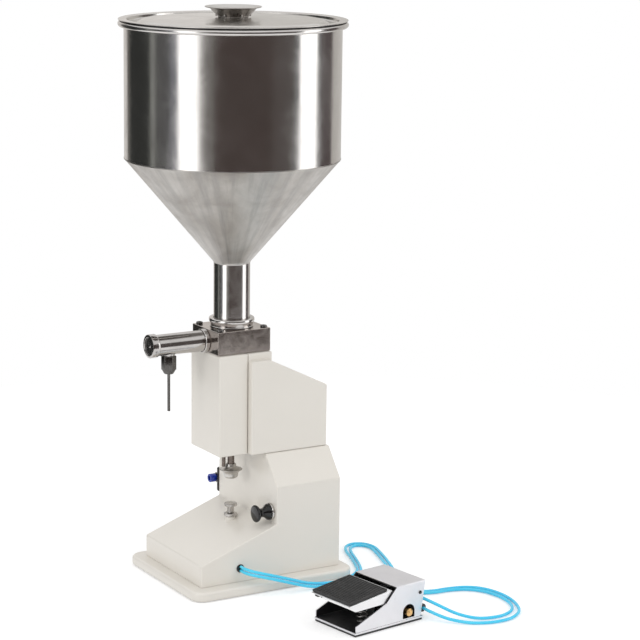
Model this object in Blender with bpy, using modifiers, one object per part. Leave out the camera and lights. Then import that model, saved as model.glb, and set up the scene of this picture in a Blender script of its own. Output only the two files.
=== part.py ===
"""Piston filling machine with a conical hopper, driven by air from a foot pedal.

Metres, +Z up. The origin is on the underside of the base, below the hopper's axis.
The front, where the nozzle is, faces -Y. The pedal stands beside it at +X.
"""
import math

import bmesh
import bpy
from mathutils import Matrix, Vector

# Fits and mesh detail
FIT_GAP = 0.0003
CUT_OVERRUN = 0.003
WELD_DISTANCE = 0.00001
LARGE_STEPS = 28
MEDIUM_STEPS = 20
SMALL_STEPS = 12
HEX_STEPS = 6
ARC_STEPS = 6

# Base plate
BASE_HALF_WIDTH = 0.0964
BASE_FRONT = 0.1007
BASE_REAR = 0.1314
BASE_THICKNESS = 0.0129
BASE_CORNER_RADIUS = 0.018
BASE_RIM_RADIUS = 0.004

# Lower housing: wedge, column and shoulders
HOUSING_WALL = 0.003
HOUSING_HALF_WIDTH = 0.077
WEDGE_FRONT = 0.0834
WEDGE_FRONT_TOP = 0.041
COLUMN_FRONT = 0.0245
COLUMN_REAR = 0.1184
SLOPE_TOP = 0.0804
SHOULDER_BOTTOM = 0.1292
SHOULDER_TOP = 0.166
HOUSING_EDGE_RADIUS = 0.0018
DUCT_BEHIND_AXIS = 0.070
DUCT_RADIUS = 0.012

# Upper housing
UPPER_WALL = 0.0025
UPPER_HALF_WIDTH = 0.0475
UPPER_FRONT = 0.0037
UPPER_FLAT_END = 0.0301
UPPER_REAR = 0.1145
UPPER_BELOW_BLOCK = 0.0091
UPPER_ROOF_DROP = 0.0409
PAD_DEPTH = 0.0148

# Front cover
COVER_WALL = 0.0025
COVER_HALF_WIDTH = 0.0385
COVER_FRONT = 0.0377
COVER_HEAD = 0.012

# Valve block
BLOCK_HALF_WIDTH = 0.0342
BLOCK_FRONT = 0.0378
BLOCK_REAR = 0.0374
BLOCK_ABOVE_SHOULDER = 0.1308
BLOCK_HEIGHT = 0.0297
BLOCK_BOTTOM = SHOULDER_TOP + BLOCK_ABOVE_SHOULDER
BLOCK_TOP = BLOCK_BOTTOM + BLOCK_HEIGHT
BLOCK_EDGE_RADIUS = 0.0008
PORT_RADIUS = 0.016
PORT_DEPTH = 0.006
SEAT_RADIUS = 0.009
SEAT_THICKNESS = 0.003
PASSAGE_RADIUS = 0.0055
SCREW_INSET = 0.0065
SCREW_SHANK_RADIUS = 0.0025
SCREW_HEAD_RADIUS = 0.00425
SCREW_HEAD_HEIGHT = 0.005
SCREW_SOCKET_RADIUS = 0.0023
SCREW_SOCKET_DEPTH = 0.0025
SCREW_GRIP = 0.0105

# Metering cylinder and its piston
METERING_OUTER_RADIUS = 0.025
METERING_BORE_RADIUS = 0.0215
METERING_LENGTH = 0.0565
PISTON_HEADROOM = 0.0025
METERING_PISTON_LENGTH = 0.016
SEAL_GROOVE_DEPTH = 0.0024
SEAL_WIDTH = 0.004
SEAL_STAND = 0.0001
ROD_RADIUS = 0.0045
ROD_INTO_PISTON = 0.012

# Air cylinder and its piston
AIR_OUTER_RADIUS = 0.028
AIR_BORE_RADIUS = 0.025
AIR_TUBE_LENGTH = 0.0504
AIR_CAP_THICKNESS = 0.0072
AIR_SPIGOT_RADIUS = 0.0152
AIR_PISTON_LENGTH = 0.012
AIR_HEADROOM = 0.0025

# Stop pin and adjusting nut under the front cover
STOP_PIN_RADIUS = 0.0025
STOP_PIN_AHEAD = 0.0106
STOP_PIN_REACH = 0.0235
STOP_PIN_SOCKET = 0.004
NUT_BELOW_SHOULDER = 0.0205
NUT_NECK_LENGTH = 0.007
NUT_HEIGHT = 0.0193
NUT_TOP = SHOULDER_TOP - NUT_BELOW_SHOULDER
NUT_RIM_Z = NUT_TOP - NUT_NECK_LENGTH
NUT_BOTTOM = NUT_TOP - NUT_HEIGHT
NUT_NECK_RADIUS = 0.0064
NUT_RIM_RADIUS = 0.01475
NUT_RIM_THICKNESS = 0.0012
NUT_DOME_RADIUS = 0.0095
NUT_FLOOR = 0.004
NUT_NECK_SHARES = ((0.06, 0.45), (0.35, 0.75))
NUT_UNDERSIDE_SHARES = ((0.5, 0.12), (0.0, 0.3), (0.0, 0.8), (-0.3, 1.0))
STROKE = 0.0335

# Stop on the slope: headed screw and lock ring
STOP_DISC_RADIUS = 0.0085
STOP_HEAD_THICKNESS = 0.0035
STOP_NECK_RADIUS = 0.00425
STOP_STUD_RADIUS = 0.003
STOP_STUD_LENGTH = 0.034
STOP_RING_THICKNESS = 0.0035
STOP_BOSS_STAND = 0.00395
STOP_BOSS_RADIUS = 0.007
STOP_BOSS_DEPTH = 0.016
STOP_BEVEL = 0.0006

# Throttle valve on the column face
THROTTLE_INSET = 0.015
THROTTLE_RISE = 0.0136
THROTTLE_BODY_RADIUS = 0.009
THROTTLE_BODY_LENGTH = 0.018
THROTTLE_BUSH_RADIUS = 0.0047
THROTTLE_RING_RADIUS = 0.0112
THROTTLE_RING_THICKNESS = 0.003
THROTTLE_SPINDLE_RADIUS = 0.0025
THROTTLE_SPINDLE_LENGTH = 0.012
KNURL_KNOB_LENGTH = 0.0205
KNURL_KNOB_RADIUS = 0.011
KNURL_KNOB_NECK_RADIUS = 0.0056
KNURL_KNOB_RIM = 0.002
KNURL_KNOB_SHARES = ((0.3, 0.28), (0.0, 0.42), (0.0, 0.58), (0.3, 0.72))

# Air inlet on the left side wall
INLET_Y = 0.045
INLET_Z = 0.101
INLET_PLATE_THICKNESS = 0.003
INLET_PLATE_FRONT = 0.0232
INLET_PLATE_REAR = 0.062
INLET_PLATE_HALF_HEIGHT = 0.0165
INLET_STANDOFF = 0.011
INLET_STEM_RADIUS = 0.0045
INLET_STEM_LENGTH = 0.018
INLET_HEX_RADIUS = 0.0068
INLET_HEX_LENGTH = 0.003
INLET_BODY_RADIUS = 0.0056
INLET_BODY_LENGTH = 0.019
INLET_COLLAR_RADIUS = 0.0064
INLET_COLLAR_LENGTH = 0.0035
INLET_SOCKET_RADIUS = 0.0043
INLET_SOCKET_DEPTH = 0.009
RELEASE_RING_RADIUS = 0.0056
RELEASE_RING_LENGTH = 0.0084
RELEASE_RING_BORE = 0.0031
RELEASE_SLEEVE_RADIUS = 0.004
RELEASE_SLEEVE_LENGTH = 0.006
RELEASE_TRAVEL_GAP = 0.0016

# Outlet tube, end cap and nozzle
OUTLET_RISE = 0.0142
OUTLET_Z = BLOCK_BOTTOM + OUTLET_RISE
OUTLET_RADIUS = 0.0135
OUTLET_BORE_RADIUS = 0.0105
OUTLET_SPIGOT_RADIUS = 0.010
OUTLET_SPIGOT_START = 0.030
OUTLET_SEAT_FACE = 0.047
OUTLET_END = 0.108
COLLAR_RADIUS = 0.015
COLLAR_LENGTH = 0.0059
END_CAP_LENGTH = 0.0097
END_CAP_RECESS_RADIUS = 0.011
END_CAP_RECESS_DEPTH = 0.002
END_CAP_PLUG_LENGTH = 0.004
CAP_BEVEL = 0.001
OUTLET_POPPET_RADIUS = 0.009
OUTLET_POPPET_THICKNESS = 0.0027
OUTLET_STEM_RADIUS = 0.0022
OUTLET_STEM_LENGTH = 0.011
NOZZLE_AHEAD = 0.0895
NOZZLE_BOSS_RADIUS = 0.007
NOZZLE_BOSS_DROP = 0.026
NOZZLE_BOSS_BOTTOM = OUTLET_Z - NOZZLE_BOSS_DROP
NOZZLE_BOSS_BORE = 0.0026
NOZZLE_NUT_THREAD = 0.0115
NOZZLE_NUT_GRIP = 0.0065
NOZZLE_NUT_TAPER = 0.0048
NOZZLE_NUT_RADIUS = 0.0097
NOZZLE_NUT_TIP_RADIUS = 0.0062
NEEDLE_RADIUS = 0.0019
NEEDLE_BORE_RADIUS = 0.0011
NEEDLE_FLANGE_RADIUS = 0.0069
NEEDLE_FLANGE_THICKNESS = 0.0027
NEEDLE_LENGTH = 0.0595

# Inlet check valve under the hopper
INLET_POPPET_RADIUS = 0.012
INLET_POPPET_THICKNESS = 0.0035
POPPET_STEM_RADIUS = 0.002
POPPET_STEM_STAND = 0.0145
RETAINER_RADIUS = 0.0115
RETAINER_THICKNESS = 0.002
INLET_SPRING_RADIUS = 0.0105
INLET_SPRING_WIRE = 0.0007
INLET_SPRING_TURNS = 4

# Outlet check spring
OUTLET_SPRING_RADIUS = 0.0065
OUTLET_SPRING_WIRE = 0.0006
OUTLET_SPRING_TURNS = 6
SPRING_STEPS = 8

# Hopper and its union
BARREL_RADIUS = 0.135
NECK_RADIUS = 0.0231
NECK_LENGTH = 0.0826
CONE_HEIGHT = 0.1311
BARREL_HEIGHT = 0.1663
NECK_TOP = BLOCK_TOP + NECK_LENGTH
BARREL_BOTTOM = NECK_TOP + CONE_HEIGHT
SHEET = 0.0012
BEAD_RADIUS = 0.0037
BEAD_CENTRE_Z = BARREL_BOTTOM + BARREL_HEIGHT
FERRULE_RADIUS = 0.026
FERRULE_THICKNESS = 0.0024
GASKET_THICKNESS = 0.0015
GASKET_BORE_RADIUS = 0.0172
UNION_RADIUS = 0.0289
UNION_HEIGHT = 0.0135
UNION_TOP = BLOCK_TOP + UNION_HEIGHT
UNION_LIP = 0.0025
UNION_GROOVE_DEPTH = 0.0013
UNION_GROOVE_WIDTH = 0.0015

# Lid and its knob
LID_OVERHANG = 0.007
LID_SHEET = 0.001
LID_FLANGE_RISE = 0.0018
LID_GROOVE_INSET = 0.005
LID_GROOVE_WIDTH = 0.0115
LID_GROOVE_DEPTH = 0.0052
LID_GROOVE_SLOPE = 0.0028
LID_DOME_STEP = 0.0055
LID_DOME_SHARES = (0.7, 0.5)
LID_DOME_RISE = 0.003
LID_EDGE_ROLL = 0.0008
KNOB_FOOT_RADIUS = 0.019
KNOB_SHOULDER_RADIUS = 0.0282
KNOB_BRIM_RADIUS = 0.0352
KNOB_HEIGHT = 0.0132
KNOB_BRIM_THICKNESS = 0.0011
KNOB_DISH_RADIUS = 0.0275
KNOB_DISH_DEPTH = 0.0042
KNOB_DISH_SHARES = ((0.6, 0.85), (1.0, 0.35))

# Hose bulkhead in the right side wall
BULKHEAD_AHEAD = 0.0283
BULKHEAD_Z = 0.0308
BULKHEAD_RADIUS = 0.0068
BULKHEAD_FLANGE_THICKNESS = 0.0018
BULKHEAD_BODY_RADIUS = 0.0058
BULKHEAD_BODY_LENGTH = 0.012
HOSE_RADIUS = 0.002
HOSE_POINTS = 72

# Foot pedal, in its own frame: x across, y from its front edge to its rear
PEDAL_X = 0.2531
PEDAL_Y = 0.0042
PEDAL_TURN = math.radians(8.9)
PEDAL_HALF_WIDTH = 0.038
PEDAL_LENGTH = 0.109
PEDAL_HEIGHT = 0.0503
PEDAL_MAT_THICKNESS = 0.0024
PEDAL_MAT_INSET = 0.0006
PEDAL_BASE_THICKNESS = 0.0026
PEDAL_SHEET = 0.0015
PEDAL_SIDE_FRONT = 0.0015
PEDAL_SIDE_FRONT_TOP = 0.0133
PEDAL_KNEE_Y = 0.0489
PEDAL_KNEE_Z = 0.0323
PEDAL_TOP_FRONT = 0.066
ARCH_AHEAD_OF_REAR = 0.0236
ARCH_Y = PEDAL_LENGTH - ARCH_AHEAD_OF_REAR
ARCH_HALF_WIDTH = 0.0095
ARCH_SPRING_Z = 0.0150
ARCH_BOTTOM_Z = 0.0070
HINGE_Y = 0.0605
HINGE_Z = 0.038
HINGE_PIN_RADIUS = 0.0025
HINGE_PIN_HEAD_RADIUS = 0.0038
HINGE_PIN_HEAD = 0.0012
LEVER_TILT = math.radians(6.9)
LEVER_HALF_WIDTH = 0.0356
LEVER_FRONT = 0.067
LEVER_REAR = 0.001
LEVER_PLATE_Z = 0.008
LEVER_SHEET = 0.0015
LEVER_LIP_DROP = 0.0035
LEVER_FLANGE_FRONT_DROP = 0.0095
LEVER_FLANGE_FRONT_BACK = 0.008
LEVER_KNUCKLE_RADIUS = 0.0058
PEDAL_PAD_THICKNESS = 0.003
PEDAL_PAD_INSET = 0.0008
PEDAL_PAD_REAR = 0.0065
PAD_RIB_COUNT = 9
PAD_RIB_WIDTH = 0.0022
PAD_RIB_DEPTH = 0.0008
PAD_STUD_RADIUS = 0.0019
PAD_STUD_LENGTH = 0.0042
PAD_STUD_INSET = 0.0035
PAD_STUD_PITCH = 0.0105
VALVE_BODY_LEFT = 0.006
VALVE_BODY_RIGHT = 0.024
VALVE_BODY_FRONT = 0.042
VALVE_BODY_INSET = 0.005
VALVE_BODY_REAR = PEDAL_LENGTH - VALVE_BODY_INSET
VALVE_BODY_TOP = 0.033
PLUNGER_X = 0.009
PLUNGER_Y = 0.048
PLUNGER_RADIUS = 0.003
PLUNGER_SOCKET = 0.009
PLUNGER_TOP = 0.0441
RETURN_SPRING_X = 0.018
RETURN_SPRING_Y = 0.028
RETURN_SPRING_RADIUS = 0.006
RETURN_SPRING_WIRE = 0.0008
RETURN_SPRING_TURNS = 6
RETURN_SPRING_LENGTH = 0.0361
SILENCER_Z = 0.0143
SILENCER_HEX_RADIUS = 0.0062
SILENCER_HEX_LENGTH = 0.005
SILENCER_RADIUS = 0.0048
SILENCER_LENGTH = 0.0175
SILENCER_TIP_RADIUS = 0.003
SILENCER_TIP_LENGTH = 0.002
SIDE_SCREW_INSET = 0.0055
SIDE_SCREW_Y = PEDAL_LENGTH - SIDE_SCREW_INSET
SIDE_SCREW_Z = 0.0359
SIDE_SCREW_RADIUS = 0.0023
SIDE_SCREW_CROWN_SHARE = 0.7
SIDE_SCREW_HEAD = 0.0014
SIDE_SCREW_SHANK_RADIUS = 0.0013
SIDE_SCREW_LENGTH = 0.004
ELBOW_LOW_X = 0.0165
ELBOW_LOW_Z = 0.0115
ELBOW_HIGH_X = 0.0035
ELBOW_HIGH_Z = 0.0245
ELBOW_RADIUS = 0.0046
ELBOW_COLLAR_RADIUS = 0.0052
ELBOW_COLLAR_LENGTH = 0.003
ELBOW_STEM_RADIUS = 0.004
ELBOW_BARREL_LENGTH = 0.0145
ELBOW_BEHIND = 0.0062
ELBOW_STEM_INTO = 0.0015
ELBOW_SOCKET_DEPTH = 0.005
ELBOW_SOCKET_RADIUS = 0.0023

# Hose routes in millimetres, chosen by hand, from the bulkhead to the pedal's elbows
MILLIMETRE = 0.001
OUTER_HOSE_ROUTE = (
    (79.4, -28.3, 33.3), (88, -28.2, 33.2), (97, -24, 32.2), (104, -13, 29.4), (108, 4, 24.5),
    (110.3, 26, 17.3), (111, 50, 9.2), (109.8, 73, 4.6), (106.5, 98, 2.1), (98, 122, 2.1),
    (82, 142.5, 2.1), (58, 154.5, 2.1), (30, 165.3, 2.1), (4, 174, 2.1), (-12, 183.8, 2.1),
    (-18.5, 198, 2.1), (-11, 211.8, 2.1), (6, 216.5, 2.1), (29, 211.5, 2.1), (56, 203.3, 2.1),
    (84, 193.5, 2.1), (110, 183, 2.1), (133, 171.8, 2.1), (155, 162.8, 2.1), (174, 161.3, 2.1),
    (189, 170, 2.1), (195.6, 186, 2.1), (197, 206, 2.1), (202, 227, 2.1), (214, 243, 2.1),
    (234, 252, 2.1), (260, 254, 2.1), (287, 248, 2.1), (310, 235.5, 2.1), (324.5, 216, 2.1),
    (328.5, 194.5, 2.1), (325, 174.5, 2.1), (315, 156, 2.3), (298.5, 138.5, 4.8), (280, 125.6, 9.9),
    (266.2, 122.86, 11.5))
INNER_HOSE_ROUTE = (
    (79.4, -28.3, 28.3), (88.5, -28.2, 28.3), (98.5, -24, 27.6), (106, -12.5, 25), (110.3, 4.5, 20.2),
    (113, 26.5, 13), (114.3, 50, 5.6), (115, 73, 2.3), (112.8, 98, 2.1), (104, 122.5, 2.1),
    (87, 145, 2.1), (62, 158.5, 2.1), (34, 169.3, 2.1), (11, 177.6, 2.1), (-4.5, 186.2, 2.1),
    (-10.5, 197.5, 2.1), (-4, 208, 2.1), (10, 210.3, 2.1), (29, 205.6, 2.1), (54.5, 197.8, 2.1),
    (82, 188.3, 2.1), (107.5, 178, 2.1), (131, 166.5, 2.1), (154.5, 157, 2.1), (176.5, 155.5, 2.1),
    (193.5, 165, 2.1), (201.3, 183.5, 2.1), (203, 204, 2.1), (209.5, 223.5, 2.1), (222.5, 237.5, 2.1),
    (241.5, 245, 2.1), (264, 246.5, 2.1), (286, 241, 2.1), (303, 229, 2.1), (312, 212.5, 2.1),
    (313.5, 195.5, 2.1), (309, 178, 2.3), (301, 163.5, 4.6), (291, 149.5, 9.5), (279, 135, 17.5),
    (264, 122.6, 24), (253.36, 120.84, 24.5))

PARTS = bpy.data.collections.new("filling_machine")
CUTTERS = bpy.data.collections.new("cutters")


def clear_scene():
    """Remove what the open file holds and link the two empty collections."""
    for item in list(bpy.data.objects):
        bpy.data.objects.remove(item, do_unlink=True)
    bpy.context.scene.collection.children.link(PARTS)
    bpy.context.scene.collection.children.link(CUTTERS)


def finish(piece, colour, roughness, metallic):
    """Give a piece its own material."""
    material = bpy.data.materials.new(piece.name)
    material.use_nodes = True
    shader = material.node_tree.nodes["Principled BSDF"]
    shader.inputs["Base Color"].default_value = (*colour, 1.0)
    shader.inputs["Roughness"].default_value = roughness
    shader.inputs["Metallic"].default_value = metallic
    piece.data.materials.append(material)
    return piece


def painted(piece):
    """Warm off-white paint."""
    return finish(piece, (0.72, 0.70, 0.64), 0.45, 0.0)


def steel(piece):
    """Polished stainless steel."""
    return finish(piece, (0.62, 0.60, 0.57), 0.18, 1.0)


def dark_steel(piece):
    """Darker machined steel."""
    return finish(piece, (0.38, 0.36, 0.33), 0.3, 1.0)


def alloy(piece):
    """Pale anodised aluminium sheet."""
    return finish(piece, (0.80, 0.80, 0.84), 0.35, 1.0)


def black(piece):
    """Black rubber or plastic."""
    return finish(piece, (0.02, 0.02, 0.02), 0.6, 0.0)


def brass(piece):
    """Sintered brass."""
    return finish(piece, (0.70, 0.48, 0.22), 0.45, 1.0)


def blue(piece):
    """Deep blue plastic."""
    return finish(piece, (0.02, 0.07, 0.55), 0.35, 0.0)


def hose_blue(piece):
    """Light blue hose plastic."""
    return finish(piece, (0.05, 0.55, 0.90), 0.25, 0.0)


def put(name, mesh, matrix=None, parent=None):
    """Make an object of a mesh in the parts collection and place it."""
    piece = bpy.data.objects.new(name, mesh)
    PARTS.objects.link(piece)
    piece.parent = parent
    if matrix is not None:
        piece.matrix_basis = matrix
    return piece


def as_cutter(piece):
    """Move a helper solid among the cutters, out of the finished model."""
    PARTS.objects.unlink(piece)
    CUTTERS.objects.link(piece)
    piece.hide_render = True
    piece.display_type = "WIRE"
    return piece


def boolean(piece, other, operation):
    """Cut or join one solid with another, which becomes a cutter."""
    modifier = piece.modifiers.new(operation.lower(), "BOOLEAN")
    modifier.operation = operation
    modifier.solver = "EXACT"
    modifier.object = as_cutter(other)
    return piece


def cut(piece, other):
    """Take one solid out of another."""
    return boolean(piece, other, "DIFFERENCE")


def join(piece, other):
    """Weld one solid to another."""
    return boolean(piece, other, "UNION")


def turned(name, profile, matrix=None, parent=None, steps=MEDIUM_STEPS, ring=False):
    """Turn a profile of (radius, height) about local Z, from its top down its outer side."""
    shape = bmesh.new()
    verts = [shape.verts.new((radius, 0.0, height)) for radius, height in profile]
    for first, second in zip(verts, verts[1:]):
        shape.edges.new((first, second))
    if ring:
        shape.edges.new((verts[-1], verts[0]))
    mesh = bpy.data.meshes.new(name)
    shape.to_mesh(mesh)
    shape.free()
    piece = put(name, mesh, matrix, parent)
    screw = piece.modifiers.new("turn", "SCREW")
    screw.axis = "Z"
    screw.steps = steps
    screw.render_steps = steps
    screw.use_merge_vertices = True
    screw.merge_threshold = WELD_DISTANCE
    screw.use_smooth_shade = steps > HEX_STEPS
    return piece


def rod(name, radius, low, high, matrix=None, parent=None, steps=SMALL_STEPS):
    """A plain round bar along local Z."""
    return turned(name, ((0.0, high), (radius, high), (radius, low), (0.0, low)), matrix, parent, steps)


def tube_profile(outer, inner, low, high):
    """Closed profile of a plain ring."""
    return ((outer, high), (outer, low), (inner, low), (inner, high))


def box(name, low, high, matrix=None, parent=None):
    """A block between two corners."""
    shape = bmesh.new()
    bmesh.ops.create_cube(shape, size=1)
    size = Vector(high) - Vector(low)
    bmesh.ops.scale(shape, vec=size, verts=shape.verts)
    bmesh.ops.translate(shape, vec=Vector(low) + size / 2, verts=shape.verts)
    mesh = bpy.data.meshes.new(name)
    shape.to_mesh(mesh)
    shape.free()
    return put(name, mesh, matrix, parent)


def outline_solid(name, outline, axis, low, high, matrix=None, parent=None):
    """Extrude a flat outline along X, Y or Z between two places on that axis."""
    curve = bpy.data.curves.new(name, "CURVE")
    curve.dimensions = "2D"
    curve.fill_mode = "BOTH"
    curve.extrude = (high - low) / 2
    spline = curve.splines.new("POLY")
    spline.points.add(len(outline) - 1)
    for point, (across, up) in zip(spline.points, outline):
        point.co = (across, up, 0.0, 1.0)
    spline.use_cyclic_u = True
    flat = bpy.data.objects.new(name, curve)
    CUTTERS.objects.link(flat)
    mesh = bpy.data.meshes.new_from_object(flat.evaluated_get(bpy.context.evaluated_depsgraph_get()))
    bpy.data.objects.remove(flat)
    turns = {
        "X": Matrix(((0, 0, 1, 0), (1, 0, 0, 0), (0, 1, 0, 0), (0, 0, 0, 1))),
        "Y": Matrix(((1, 0, 0, 0), (0, 0, 1, 0), (0, 1, 0, 0), (0, 0, 0, 1))),
        "Z": Matrix.Identity(4),
    }
    mesh.transform(turns[axis] @ Matrix.Translation((0.0, 0.0, (low + high) / 2)))
    shape = bmesh.new()
    shape.from_mesh(mesh)
    bmesh.ops.remove_doubles(shape, verts=shape.verts, dist=WELD_DISTANCE)
    bmesh.ops.dissolve_limit(shape, angle_limit=math.radians(1), verts=shape.verts, edges=shape.edges)
    bmesh.ops.recalc_face_normals(shape, faces=shape.faces)
    shape.to_mesh(mesh)
    shape.free()
    mesh.materials.clear()
    return put(name, mesh, matrix, parent)


def soften(piece, width, segments=2):
    """Round the sharp edges of a solid."""
    bevel = piece.modifiers.new("edges", "BEVEL")
    bevel.width = width
    bevel.segments = segments
    bevel.limit_method = "ANGLE"
    return piece


def arc(centre, radius, start, end, steps=ARC_STEPS):
    """Points of an arc, its angles in degrees."""
    angles = (math.radians(start + (end - start) * step / steps) for step in range(steps + 1))
    return [(centre[0] + radius * math.cos(turn), centre[1] + radius * math.sin(turn)) for turn in angles]


def inset_outline(outline, distance):
    """Move every side of a convex outline, drawn anticlockwise, inwards."""
    points = [Vector(point) for point in outline]
    moved = []
    for before, corner, after in zip(points[-1:] + points[:-1], points, points[1:] + points[:1]):
        first = (corner - before).normalized()
        second = (after - corner).normalized()
        first_in = Vector((-first.y, first.x))
        second_in = Vector((-second.y, second.x))
        middle = (first_in + second_in).normalized()
        moved.append(tuple(corner + middle * (distance / middle.dot(first_in))))
    return moved


def along_y(forward_origin, x=0.0):
    """Frame whose +Z runs forward, to -Y, from the hopper's axis at a height."""
    return Matrix.Translation((x, 0.0, forward_origin)) @ Matrix.Rotation(math.radians(90), 4, "X")


def frame_of(origin, x_axis, z_axis):
    """Frame with its X and Z axes along two given directions."""
    across = Vector(z_axis).cross(Vector(x_axis))
    turn = Matrix((Vector(x_axis), across, Vector(z_axis))).transposed().to_4x4()
    return Matrix.Translation(origin) @ turn


def coil_spring(name, radius, wire, low, high, turns, matrix=None, parent=None):
    """A compression spring of one unbroken wire along local Z."""
    curve = bpy.data.curves.new(name, "CURVE")
    curve.dimensions = "3D"
    curve.bevel_depth = wire
    curve.bevel_resolution = 1
    curve.use_fill_caps = True
    count = turns * SPRING_STEPS
    points = []
    for step in range(count + 1):
        turn = math.tau * step / SPRING_STEPS
        height = low + wire + (high - low - wire * 2) * step / count
        points.append(Vector((radius * math.cos(turn), radius * math.sin(turn), height)))
    spline = curve.splines.new("POLY")
    spline.points.add(count)
    for point, place in zip(spline.points, points):
        point.co = (*place, 1.0)
    half_turn = SPRING_STEPS // 2
    spans = [(a - b).length for i, a in enumerate(points) for b in points[i + half_turn:]]
    print(name, "least gap between turns, mm:", round((min(spans) - wire * 2) / MILLIMETRE, 2))
    return put(name, curve, matrix, parent)


def smooth_route(route, count):
    """Even points along one smooth curve through a route given in millimetres."""
    knots = [Vector(point) * MILLIMETRE for point in route]
    ends = [knots[0] * 2 - knots[1]] + knots + [knots[-1] * 2 - knots[-2]]
    fine = []
    samples = 12
    for before, start, end, after in zip(ends, ends[1:], ends[2:], ends[3:]):
        for step in range(samples):
            t = step / samples
            fine.append(0.5 * (start * 2 + (end - before) * t
                               + (before * 2 - start * 5 + end * 4 - after) * t ** 2
                               + (start * 3 - before - end * 3 + after) * t ** 3))
    fine.append(knots[-1])
    reach = [0.0]
    for first, second in zip(fine, fine[1:]):
        reach.append(reach[-1] + (second - first).length)
    points = []
    segment = 0
    for step in range(count):
        distance = reach[-1] * step / (count - 1)
        while segment < len(fine) - 2 and reach[segment + 1] < distance:
            segment += 1
        span = reach[segment + 1] - reach[segment]
        points.append(fine[segment].lerp(fine[segment + 1], (distance - reach[segment]) / span))
    return points, reach[-1]


def hose(name, route):
    """A free hose along its route."""
    points, length = smooth_route(route, HOSE_POINTS)
    curve = bpy.data.curves.new(name, "CURVE")
    curve.dimensions = "3D"
    curve.bevel_depth = HOSE_RADIUS
    curve.bevel_resolution = 2
    curve.use_fill_caps = True
    spline = curve.splines.new("POLY")
    spline.points.add(len(points) - 1)
    for point, place in zip(spline.points, points):
        point.co = (*place, 1.0)
    print(name, "length, m:", round(length, 4))
    return hose_blue(put(name, curve))


def slope_height(y):
    """Height of the wedge's sloping top at a place along Y."""
    rise = (SLOPE_TOP - WEDGE_FRONT_TOP) / (COLUMN_FRONT + WEDGE_FRONT)
    return SLOPE_TOP + (y - COLUMN_FRONT) * rise


def build_base():
    """The base plate, with round corners and a rounded rim."""
    shape = bmesh.new()
    bmesh.ops.create_cube(shape, size=1)
    size = Vector((BASE_HALF_WIDTH * 2, BASE_FRONT + BASE_REAR, BASE_THICKNESS))
    bmesh.ops.scale(shape, vec=size, verts=shape.verts)
    middle = Vector((0.0, (BASE_REAR - BASE_FRONT) / 2, BASE_THICKNESS / 2))
    bmesh.ops.translate(shape, vec=middle, verts=shape.verts)
    upright = [edge for edge in shape.edges if abs(edge.verts[0].co.z - edge.verts[1].co.z) > BASE_THICKNESS / 2]
    bmesh.ops.bevel(shape, geom=upright, offset=BASE_CORNER_RADIUS, offset_type="OFFSET", segments=4,
                    profile=0.5, affect="EDGES", material=-1)
    rim = [edge for edge in shape.edges if edge.verts[0].co.z == edge.verts[1].co.z]
    bmesh.ops.bevel(shape, geom=rim, offset=BASE_RIM_RADIUS, offset_type="OFFSET", segments=2,
                    profile=0.5, affect="EDGES", material=-1)
    mesh = bpy.data.meshes.new("base_plate")
    shape.to_mesh(mesh)
    shape.free()
    painted(put("base_plate", mesh))


def column_outline(bottom):
    """Front view of the lower housing, anticlockwise from its bottom right corner."""
    return [(HOUSING_HALF_WIDTH, bottom), (HOUSING_HALF_WIDTH, SHOULDER_BOTTOM),
            (UPPER_HALF_WIDTH, SHOULDER_TOP), (-UPPER_HALF_WIDTH, SHOULDER_TOP),
            (-HOUSING_HALF_WIDTH, SHOULDER_BOTTOM), (-HOUSING_HALF_WIDTH, bottom)]


def notch_outline(face, drop):
    """Side view of the space above the slope and ahead of the column."""
    front = -WEDGE_FRONT - CUT_OVERRUN
    top = SHOULDER_TOP + CUT_OVERRUN
    return [(face, slope_height(face) - drop), (face, top), (front, top), (front, slope_height(front) - drop)]


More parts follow.
